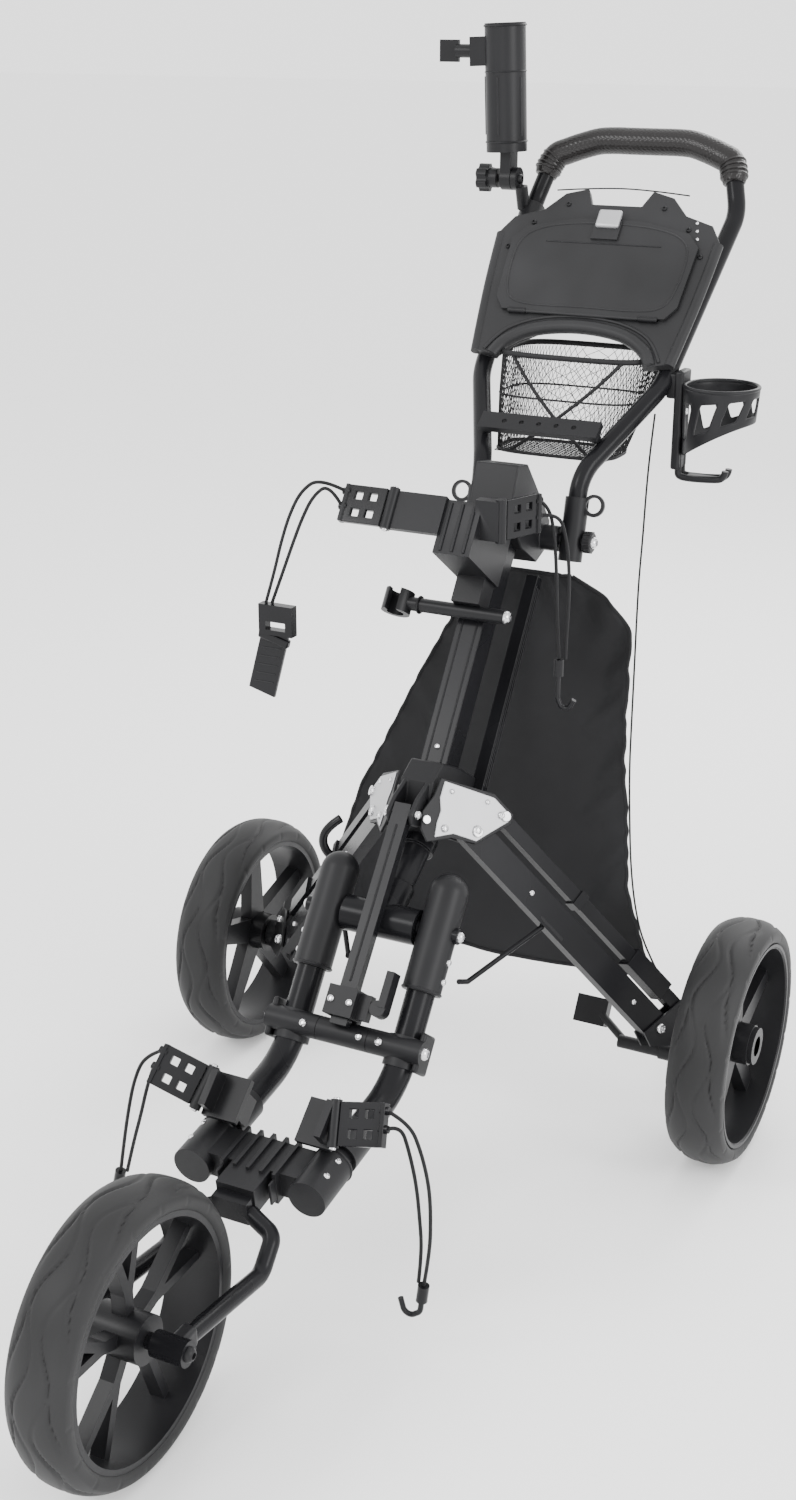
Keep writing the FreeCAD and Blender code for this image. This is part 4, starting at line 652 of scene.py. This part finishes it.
def cage_point(step, row):
    """A point on the drink holder's tapered band, deep beside the rail and shallow on the far side."""
    share = row / CAGE_ROWS
    turn = 2 * math.pi * step / CAGE_COLUMNS + 0.45 * share
    near_rail = 0.5 - 0.5 * math.cos(turn)
    low = 0.814 - 0.044 * near_rail ** 1.3
    radius = 0.0405 + 0.0030 * share
    height = low + (0.854 - low) * share
    return CAGE_AXIS + Vector((radius * math.cos(turn), radius * math.sin(turn), height))


def bottle_cage():
    """Drink holder: a tapered band with slanted windows, a rolled rim, a back rail, and a curled foot."""
    points = [cage_point(step, row) for row in range(CAGE_ROWS + 1) for step in range(CAGE_COLUMNS)]
    faces = []
    for row in range(CAGE_ROWS):
        for step in range(CAGE_COLUMNS):
            if 3 <= row <= 8 and 3 <= step % 12 <= 9:
                continue
            after = (step + 1) % CAGE_COLUMNS
            base = row * CAGE_COLUMNS
            faces.append((base + step, base + after, base + CAGE_COLUMNS + after, base + CAGE_COLUMNS + step))
    band = from_faces("cage_band", points, faces)
    thick = band.modifiers.new("wall", "SOLIDIFY")
    thick.thickness = 0.0030
    thick.offset = 0.0
    rounded = band.modifiers.new("rounded", "SUBSURF")
    rounded.levels = rounded.render_levels = 1
    dress(smooth(band), PLASTIC, "handle")
    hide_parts("bottle_cage")
    rim = [cage_point(step, CAGE_ROWS) for step in range(0, CAGE_COLUMNS, 4)]
    tube("cage_rim", rim, 0.0024, PLASTIC, "handle", closed=True)
    block("cage_rail", at(136, 250, 812), (0.011, 0.030, 0.116), PLASTIC, "handle", round_by=0.003)
    block("cage_mount", at(129, 250, 852), (0.018, 0.026, 0.030), PLASTIC, "handle", round_by=0.003)
    bolt("cage_screw", at(142, 250, 822), RIGHT, "handle", 0.004, STEEL)
    bolt("cage_screw_low", at(142, 250, 776), RIGHT, "handle", 0.004, STEEL)
    foot = [at(138, 250, 790), at(138, 250, 752), at(140, 250, 745), at(156, 250, 744), at(180, 250, 745),
            at(196, 250, 747), at(197, 250, 757)]
    for way in (-1, 1):
        tube("cage_foot_%d" % way, [p + Vector((0, way * 0.007, 0)) for p in foot], 0.0042, PLASTIC, "handle")
    block("cage_floor", at(172, 250, 746), (0.046, 0.022, 0.004), PLASTIC, "handle", round_by=0.001)


def umbrella():
    """Rims, ribs and screws of the umbrella holder and its clamp."""
    up = Vector((-6, 0, 145)).normalized()
    foot = at(-163, 400, 1094)
    for name, height, thick in (("top", 0.147, 0.0016), ("low", 0.012, 0.0014), ("mid", 0.094, 0.0010)):
        lathe("holder_%s" % name, ring_profile(0.0254, thick), foot + up * height, up, PLASTIC,
              "umbrella_holder")
    for step in range(3):
        turn = math.radians(200 + 70 * step)
        side = Vector((math.cos(turn), math.sin(turn), 0))
        tube("holder_rib_%d" % step, [foot + up * h + side * 0.0252 for h in (0.02, 0.05, 0.088)], 0.0014,
             PLASTIC,
             "umbrella_holder")
    bolt("knuckle_screw", at(-144.6, 400, 1062), RIGHT, "handle", 0.006, PLASTIC)


# ---------------------------------------------------------------- frame details

def rail_details():
    """Ridges on the rail and rear bars, seen as fine raised lines."""
    for index, x in enumerate((-9, 9)):
        start = RAIL_FOOT + RIGHT * x / 1000 - RAIL_BACK * 0.0180 + RAIL * 0.012
        bar("rail_ridge_%d" % index, start, start + RAIL * 0.205, 0.0011, PAINT, "frame", 0.0003)
    for way in (-1, 1):
        for index, offset in enumerate((-5, 0, 5)):
            start = RAIL_FOOT + RIGHT * way * 0.0316 + RAIL_BACK * (0.072 + offset / 1000) + RAIL * 0.010
            bar("rear_bar_ridge_%d_%d" % (way, index), start, start + RAIL * 0.245, 0.0010, PAINT, "frame",
                0.0003)
    for height in (0.03, 0.215):
        bolt("rail_screw_%d" % round(height * 1000), RAIL_FOOT - RAIL_BACK * 0.0182 + RAIL * height,
             -RAIL_BACK, "frame",
             0.0034)


def gusset_details():
    """Cover screws, and the bright bolts of the leg pivots."""
    for way in (-1, 1):
        def place(x, y, out):
            point = LEG_TOP + PLATE_FLAT * x / 1000 + PLATE_RISE * y / 1000 + LEG_OUT * out
            return point if way > 0 else flipped(point)
        normal = LEG_OUT if way > 0 else flipped(LEG_OUT)
        for index, (x, y, radius) in enumerate(((-22, 50, 0.003), (-40, 12, 0.0045), (0, 2, 0.0055),
                (34, 12, 0.0045),
                                               (20, 30, 0.003))):
            bolt("cover_screw_%d_%d" % (way, index), place(x, y, 0.0128), normal, "frame", radius)
    for way in (-1, 1):
        bolt("brace_screw_%d" % way, at(way * 18.2, -210, 452), RIGHT * way, "frame", 0.005)
        bolt("barrel_screw_%d" % way, FOLD_AXLE + RIGHT * way * 0.0935, RIGHT * way, "frame", 0.006)


def front_details():
    """Bolts and rib work of the front frame."""
    for way in (-1, 1):
        side = RIGHT * way * TUBE_SPREAD
        for index, along in enumerate((0.030, 0.052)):
            bolt("tee_screw_%d_%d" % (way, index),
                 FOLD_AXLE + side + FRONT_DOWN * along + RIGHT * way * 0.0218,
                 RIGHT * way, "front_frame", 0.0038)
        lathe("tee_ring_%d" % way, ring_profile(0.0213, 0.0016), FOLD_AXLE + side + FRONT_DOWN * 0.066,
              FRONT_DOWN,
              CASTING, "front_frame")
        bolt("crossbar_end_%d" % way, CROSSBAR + RIGHT * way * 0.0942, RIGHT * way, "front_frame", 0.007)
        bolt("crossbar_front_%d" % way, CROSSBAR + RIGHT * way * 0.046 + FRONT_OUT * 0.0138, FRONT_OUT,
             "front_frame",
             0.0045)
        block("crossbar_wing_%d" % way, CROSSBAR + RIGHT * way * 0.090 - FRONT_OUT * 0.010,
              (0.007, 0.030, 0.044),
              CASTING, "front_frame", FRONT_DOWN, RIGHT, 0.003)
        for index, back in enumerate((0.012, 0.036)):
            point = TUBE_END + side - FRONT_AHEAD * back + Vector((way * 0.012, 0.0026, 0.0172))
            bolt("cap_rivet_%d_%d" % (way, index), point, Vector((way * 0.55, 0.12, 0.82)), "front_frame",
                 0.0036)
        lathe("cap_ring_%d" % way, ring_profile(0.0208, 0.0015), TUBE_END + side - FRONT_AHEAD * 0.050,
              FRONT_AHEAD,
              CASTING, "front_frame")
        hub = FRONT_AXLE + RIGHT * way * 0.0700
        bolt("fork_bolt_%d" % way, hub, RIGHT * way, "front_frame", 0.0075, CASTING)
        block("fork_dropout_%d" % way, FRONT_AXLE + Vector((way * 0.0555, 0.010, 0.0)),
              (0.016, 0.034, 0.022), CASTING,
              "front_frame", round_by=0.004)
    for index in range(5):
        x = -0.030 + 0.015 * index
        middle = TUBE_END - FRONT_AHEAD * 0.004 + RIGHT * x
        block("nose_fin_%d" % index, middle, (0.0028, 0.026, 0.036), CASTING, "front_frame", FRONT_AHEAD,
              RIGHT, 0.0008)


def brace_details():
    """Screws of the brace's clamp and a ridge down its face."""
    nose = NOSE_PIN
    down = (CROSSBAR - nose).normalized()
    tilt = math.asin(0.0205 / (CROSSBAR - nose).length)
    down = (Matrix.Rotation(-tilt, 3, "X") @ down).normalized()
    out = Vector((0, down.z, -down.y))
    reach = (CROSSBAR - nose).length * math.cos(tilt)
    bar("brace_ridge", nose + down * 0.016 + out * 0.0058, nose + down * (reach - 0.054) + out * 0.0058,
        0.0014, PAINT,
        "brace", 0.0004)
    for way in (-1, 1):
        bolt("clamp_screw_%d" % way, nose + down * (reach - 0.030) + RIGHT * way * 0.011 + out * 0.0170,
             out, "slider",
             0.0042)
    bolt("segment_screw", CROSSBAR + out * 0.0006 + Vector((0.022, 0, 0)) + out * 0.013, out, "slider",
         0.0042)


def leg_details():
    """Rivets and slots of the rear legs, the brackets' pivot bolts, and the left leg's clip."""
    length = (LEG_FOOT - LEG_TOP).length
    for way in (-1, 1):
        def put(point):
            return point if way > 0 else flipped(point)
        name = "right" if way > 0 else "left"
        normal = put(LEG_OUT)
        for index, along in enumerate((0.30, 0.86)):
            bolt("leg_rivet_%s_%d" % (name, index), put(LEG_TOP + LEG * along * length + LEG_OUT * 0.0071),
                 normal,
                 "leg_" + name, 0.0034)
        slot_middle = put(LEG_TOP + LEG * 0.44 * length - LEG_SIDE * 0.012 + LEG_OUT * 0.0068)
        block("leg_slot_" + name, slot_middle, (0.004, 0.040, 0.0012), GLOSSY, "leg_" + name, normal,
              put(LEG_SIDE), 0.0005)
        bolt("bracket_pin_" + name, put(LEG_FOOT + LEG_OUT * 0.0122), normal, "bracket_" + name, 0.0062)
        step = Vector((0.018, 0.035, 0.009))
        step = step - LEG_OUT * step.dot(LEG_OUT)
        bolt("bracket_pin_low_" + name, put(LEG_FOOT + step + LEG_OUT * 0.0122), normal, "bracket_" + name,
             0.0048)
    clip = at(-112, -126, 356)
    hook = [clip + Vector(v) for v in ((0.004, 0, -0.020), (-0.012, -0.014, -0.016), (-0.026, -0.020, 0.004),
                                      (-0.022, -0.018, 0.026), (-0.006, -0.010, 0.038))]
    tube("park_clip", hook, 0.0052, GLOSSY, "leg_left")


def cradle_details():
    """Ribs, screws and hinge pins of the strap cradles, and the latch rod's bolt and collar."""
    for index, x in enumerate((-14, 0, 14)):
        point = RAIL_FOOT + RIGHT * x / 1000 + RAIL * (0.232 + 0.021) - RAIL_BACK * 0.1165
        block("cradle_rib_%d" % index, point, (0.0035, 0.0030, 0.056), PLASTIC, "frame", RAIL, RIGHT, 0.001)
    front = RAIL_FOOT + RAIL * 0.253 - RAIL_BACK * 0.1168
    for way in (-1, 1):
        bolt("cradle_screw_%d" % way, front + RIGHT * way * 0.0225 + RAIL * 0.02 + RAIL_BACK * 0.02,
             RIGHT * way,
             "frame", 0.0045)
    half_pin = RAIL * STRAP_HALF_PIN
    bar("upper_left_pin", UPPER_LEFT_HINGE - half_pin, UPPER_LEFT_HINGE + half_pin, STRAP_PIN_RADIUS, STEEL,
        "frame")
    rod = RAIL_FOOT + RAIL * 0.185 - RAIL_BACK * 0.032
    bolt("latch_bolt", rod + RIGHT * 0.0465, RIGHT, "frame", 0.0075)
    lathe("latch_collar", ring_profile(0.0092, 0.0014), rod - RIGHT * 0.060, RIGHT, PLASTIC, "frame")
    for way in (-1, 1):
        hinge = LOWER_HINGE if way > 0 else flipped(LOWER_HINGE)
        upright = LOWER_UPRIGHT if way > 0 else flipped(LOWER_UPRIGHT)
        half_pin = upright * STRAP_HALF_PIN
        bar("lower_pin_%d" % way, hinge - half_pin, hinge + half_pin, STRAP_PIN_RADIUS, STEEL, "front_frame")


def pivot_details():
    """Knurled knobs on the handle's pivot."""
    for way in (-1, 1):
        face = HANDLE_PIVOT + RIGHT * way * 0.0878
        bolt("pivot_face_%d" % way, face, RIGHT * way, "frame", 0.007)
        for step in range(12):
            turn = math.pi * step / 6
            edge = Vector((0, math.cos(turn), math.sin(turn))) * 0.0118
            start = HANDLE_PIVOT + RIGHT * way * 0.078 + edge
            bar("pivot_grip_%d_%d" % (way, step), start, start + RIGHT * way * 0.009, 0.0012, PLASTIC,
                "frame", 0.0004)


# ---------------------------------------------------------------- soft goods

def strap_end(hinge, reach, upright, height=UPPER_STRAND):
    """Where a cord leaves the tip of a strap."""
    return hinge + reach * STRAP_LENGTH + upright * height


def points(*triples):
    return [at(*triple) for triple in triples]


UPPER_LEFT_ROUTE = [strap_end(UPPER_LEFT_HINGE, -RIGHT, RAIL)] + points(
    (-162, -95, 781), (-184, -99, 765), (-199, -100, 737), (-211, -100, 703), (-221, -100, 666), (-233,
            -100, 629))
UPPER_RIGHT_ROUTE = [strap_end(UPPER_RIGHT_HINGE, UPPER_RIGHT_REACH, UP)] + points(
    (71, 8, 752), (80, 4, 724), (88, -6, 686), (94, -16, 648), (99, -22, 616), (102, -24, 589))
LOWER_RIGHT_ROUTE = [strap_end(LOWER_HINGE, LOWER_REACH, LOWER_UPRIGHT)] + points(
    (156, -504, 263), (172, -510, 238), (182, -512, 202), (184, -512, 164), (183, -512, 124), (177, -512, 85))
LOWER_LEFT_ROUTE = [flipped(strap_end(LOWER_HINGE, LOWER_REACH, LOWER_UPRIGHT))] + points(
    (-152, -504, 258), (-163, -510, 229), (-171, -512, 192), (-179, -512, 152), (-186, -512, 112))
ELASTIC_ROUTE = points(
    (117, 212, 823), (121, 190, 781), (127, 167, 737), (134, 144, 692), (140, 121, 648), (147, 101, 603),
    (153, 85, 547), (158, 71, 492), (163, 58, 437), (171, 45, 382), (180, 32, 328), (192, 21, 280),
    (208, 12, 240), (230, 6, 210))


def second(route, hinge, reach, upright, inward):
    """The other strand of a bungee: it leaves lower on the strap and joins the first at its end."""
    start = strap_end(hinge, reach, upright, LOWER_STRAND)
    count = len(route) - 1
    made = [start]
    for index in range(1, len(route)):
        share = math.sin(math.pi * (0.12 + 0.80 * index / count))
        made.append(route[index] + Vector((inward * 0.015 * share, 0.002, -0.007 * (1 - index / count))))
    made[-1] = route[-1] + Vector((inward * 0.007, 0.002, 0))
    return made


def length_of(data):
    """The length of a curve's own line."""
    made = bpy.data.objects.new("measure", data.copy())
    made.data.bevel_depth = 0.0
    bpy.context.scene.collection.objects.link(made)
    mesh = made.evaluated_get(bpy.context.evaluated_depsgraph_get()).to_mesh()
    ends = [[mesh.vertices[index].co for index in edge.vertices] for edge in mesh.edges]
    total = sum((a - b).length for a, b in ends)
    bpy.data.objects.remove(made)
    return total


def cord(name, route, radius, body, node=None):
    """A free cord on its route; its length is measured but not kept."""
    data = bpy.data.curves.new(name, "CURVE")
    data.dimensions = "3D"
    data.resolution_u = 10
    line = data.splines.new("NURBS")
    line.points.add(len(route) - 1)
    for slot, point in zip(line.points, route):
        slot.co = (*point, 1.0)
    line.order_u = 3
    line.use_endpoint_u = True
    length = length_of(data)
    data.bevel_depth = radius
    data.bevel_resolution = 4
    data.use_fill_caps = True
    thing = bpy.data.objects.new(name, data)
    bpy.context.scene.collection.objects.link(thing)
    dress(thing, CORD, body)
    if node:
        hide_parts(node)
    return thing


def cords():
    """Four bungees of two strands each, and the elastic cord at the sheet's edge."""
    jobs = [
        ("upper_left", UPPER_LEFT_ROUTE, UPPER_LEFT_HINGE, -RIGHT, RAIL, 1, "upper_left_buckle"),
        ("upper_right", UPPER_RIGHT_ROUTE, UPPER_RIGHT_HINGE, UPPER_RIGHT_REACH, UP, 1, "upper_right_hook"),
        ("lower_right", LOWER_RIGHT_ROUTE, LOWER_HINGE, LOWER_REACH, LOWER_UPRIGHT, -1, "lower_right_hook"),
        ("lower_left", LOWER_LEFT_ROUTE, flipped(LOWER_HINGE), flipped(LOWER_REACH), flipped(LOWER_UPRIGHT),
         1,
         "lower_left_hook"),
    ]
    for name, route, hinge, reach, upright, inward, ending in jobs:
        level, side = name.split("_")
        body = "%s_strap_%s" % (level, side)
        cord("cord_" + name, route, BUNGEE_RADIUS, body, "bungee_" + name)
        other = second(route, hinge, reach, upright, inward)
        cord("cord_%s_second" % name, other, BUNGEE_RADIUS, body, None)
        for height in (UPPER_STRAND, LOWER_STRAND):
            at_strap = strap_end(hinge, reach, upright, height)
            lathe("bungee_%s_ferrule_%d" % (name, height > 0), [(0.0, 0.0), (0.0042, 0.0), (0.0046, 0.002),
                                                              (0.0040, 0.010), (0.0, 0.010)],
                  at_strap - reach * 0.007, reach, GLOSSY, body, steps=24)
    cord("sheet_elastic", ELASTIC_ROUTE, ELASTIC_RADIUS, "frame", "elastic_cord_right")


SETTLE_FRAMES = 50
SHEET_WIDTH = 444
SHEET_FOOT = at(0, 0, 200)
SHEET_UP = Vector((0, 0.244, 1)).normalized()
SHEET_BACK = SHEET_UP.cross(RIGHT) * -1
SHEET_EDGE = [(-222, 8), (-185, 165), (-128, 300), (-75, 420), (-24, 462), (44, 466), (98, 446), (143, 405),
              (152, 285),
              (180, 100), (222, 8), (160, -3), (67, -2), (-25, 0), (-120, 2)]


def inside_sheet(x, y):
    """Whether a point lies inside the sheet's outline."""
    inside = False
    for (ax, ay), (bx, by) in zip(SHEET_EDGE, SHEET_EDGE[1:] + SHEET_EDGE[:1]):
        if (ay > y) != (by > y) and x < (bx - ax) * (y - ay) / (by - ay) + ax:
            inside = not inside
    return inside


def sheet_cloth():
    """The fabric sheet: a flat cut with a little slack, hung from its top, sides and lower corners."""
    step = 9.0
    cut = bmesh.new()
    rows = {}
    y = 0.0
    while y < 470:
        span = [x for x in range(-224, 225) if inside_sheet(x, max(y, 1.0))]
        if span:
            rows[y] = (min(span), max(span))
        y += step
    count = int(SHEET_WIDTH / step)
    grid = []
    for y, (low, high) in rows.items():
        line = []
        for index in range(count + 1):
            x = low + (high - low) * index / count
            line.append(cut.verts.new(SHEET_FOOT + (RIGHT * x + SHEET_UP * y) / 1000))
        grid.append(line)
    for low, high in zip(grid, grid[1:]):
        for index in range(count):
            cut.faces.new((low[index], low[index + 1], high[index + 1], high[index]))
    area = sum(face.calc_area() for face in cut.faces)
    thing = from_bmesh("storage_cloth", cut)
    held = thing.vertex_groups.new(name="held")
    columns = count + 1
    last = len(grid) - 1
    for row in range(len(grid)):
        for column in range(columns):
            index = row * columns + column
            corner = row == 0 and (column < 2 or column > count - 2)
            top = row == last and column % 4 == 0
            side = column in (0, count) and row % 3 == 0 and row > 0
            if corner or top or side:
                held.add([index], 1.0, "REPLACE")
    noise = random.Random(7)
    for vertex in thing.data.vertices:
        vertex.co += SHEET_BACK * noise.uniform(-0.0006, 0.0006)
    settle(thing)
    limit_sheet(thing)
    edges = sheet_hem(thing, columns, len(grid))
    soft = thing.modifiers.new("soft", "SUBSURF")
    soft.levels = 1
    soft.render_levels = 1
    thick = thing.modifiers.new("thick", "SOLIDIFY")
    thick.thickness = 0.0012
    thick.offset = 0.0
    for face in thing.data.polygons:
        face.use_smooth = True
    dress(thing, FABRIC, "frame")
    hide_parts("storage_sheet")


def settle(thing):
    """Let the cloth fall into its folds, and keep the result."""
    cloth = thing.modifiers.new("cloth", "CLOTH")
    cloth.settings.quality = 6
    cloth.settings.mass = 0.15
    cloth.settings.tension_stiffness = 30
    cloth.settings.compression_stiffness = 30
    cloth.settings.shear_stiffness = 12
    cloth.settings.bending_stiffness = 0.6
    cloth.settings.vertex_group_mass = "held"
    cloth.settings.shrink_min = -0.035
    cloth.collision_settings.use_collision = False
    scene = bpy.context.scene
    cloth.point_cache.frame_start = 1
    cloth.point_cache.frame_end = SETTLE_FRAMES
    for number in range(1, SETTLE_FRAMES + 1):
        scene.frame_set(number)
    settled = bpy.data.meshes.new_from_object(thing.evaluated_get(bpy.context.evaluated_depsgraph_get()))
    thing.modifiers.clear()
    thing.data = settled
    scene.frame_set(1)


def limit_sheet(thing):
    """Keep the cloth's folds behind the rear bars and inside the cart."""
    for vertex in thing.data.vertices:
        away = (vertex.co - SHEET_FOOT).dot(SHEET_BACK)
        kept = max(-0.012, min(0.016, away))
        vertex.co += SHEET_BACK * (kept - away)


def sheet_hem(thing, columns, rows):
    """A piped hem along the cloth's settled edges."""
    corners = thing.data.vertices
    bottom = [corners[i].co.copy() for i in range(0, columns, 2)]
    top = [corners[(rows - 1) * columns + i].co.copy() for i in range(0, columns, 2)]
    left = [corners[row * columns].co.copy() for row in range(rows)]
    right = [corners[row * columns + columns - 1].co.copy() for row in range(rows)]
    made = []
    for name, line in (("bottom", bottom), ("top", top), ("left", left), ("right", right)):
        made.append(tube("hem_" + name, line, 0.0019, FABRIC, "frame"))
    return made


def webbing():
    """Stitches and a keeper on the buckle's webbing."""
    top = UPPER_LEFT_ROUTE[-1] + Vector((0.015, 0, -0.0004))
    down = Vector((-0.27, 0, -1)).normalized()
    start = top - UP * 0.024
    for index in range(5):
        middle = start + down * (0.030 + 0.011 * index)
        block("stitch_%d" % index, middle - Vector((0, 0.0022, 0)), (0.026, 0.0008, 0.0016), NET,
              "upper_strap_left",
              UP, RIGHT, 0.0003)
    block("webbing_keeper", start + down * 0.018, (0.040, 0.009, 0.010), GLOSSY, "upper_strap_left", -down,
          RIGHT, 0.002)


# ---------------------------------------------------------------- stage

def floor_and_light():
    """A pale floor, soft studio lights and the camera."""
    data = bpy.data.meshes.new("floor")
    data.from_pydata([(-30, -30, 0), (30, -30, 0), (30, 30, 0), (-30, 30, 0)], [], [(0, 1, 2, 3)])
    floor = bpy.data.objects.new("floor", data)
    bpy.context.scene.collection.objects.link(floor)
    pale = bpy.data.materials.new("floor")
    pale.use_nodes = True
    shader = pale.node_tree.nodes["Principled BSDF"]
    shader.inputs["Base Color"].default_value = (0.95, 0.95, 0.95, 1)
    shader.inputs["Roughness"].default_value = 0.9
    data.materials.append(pale)
    floor.location.z = -0.0005
    world = bpy.data.worlds.new("studio")
    world.use_nodes = True
    world.node_tree.nodes["Background"].inputs["Color"].default_value = (1, 1, 1, 1)
    world.node_tree.nodes["Background"].inputs["Strength"].default_value = 2.1
    bpy.context.scene.world = world
    lights = [
        ("key", (-1.6, -2.2, 2.6), 1.2, 45), ("side", (2.6, -0.6, 1.6), 1.4, 50), ("back", (0.4, 2.4, 2.2),
                1.8, 45),
        ("low", (0.4, -3.0, 0.7), 1.2, 14),
    ]
    target = Vector((0, -0.1, 0.55))
    for name, place, size, power in lights:
        lamp = bpy.data.lights.new(name, "AREA")
        lamp.shape = "DISK"
        lamp.size = size
        lamp.energy = power
        thing = bpy.data.objects.new(name, lamp)
        thing.location = place
        thing.rotation_euler = (target - Vector(place)).to_track_quat("-Z", "Y").to_euler()
        bpy.context.scene.collection.objects.link(thing)
    lens = bpy.data.cameras.new("camera")
    lens.lens = 46.469
    lens.sensor_width = 36.0
    lens.shift_x = 0.0068
    lens.shift_y = 0.0487
    camera = bpy.data.objects.new("camera", lens)
    camera.location = at(876.5, -1955.3, 1269.5)
    camera.rotation_euler = Vector((-0.4199, 0.8189, -0.3913)).to_track_quat("-Z", "Y").to_euler()
    bpy.context.scene.collection.objects.link(camera)
    bpy.context.scene.camera = camera


carry_over()
wheels()
grip()
console()
basket()
bottle_cage()
umbrella()
rail_details()
gusset_details()
front_details()
brace_details()
leg_details()
cradle_details()
pivot_details()
cords()
sheet_cloth()
webbing()
floor_and_light()
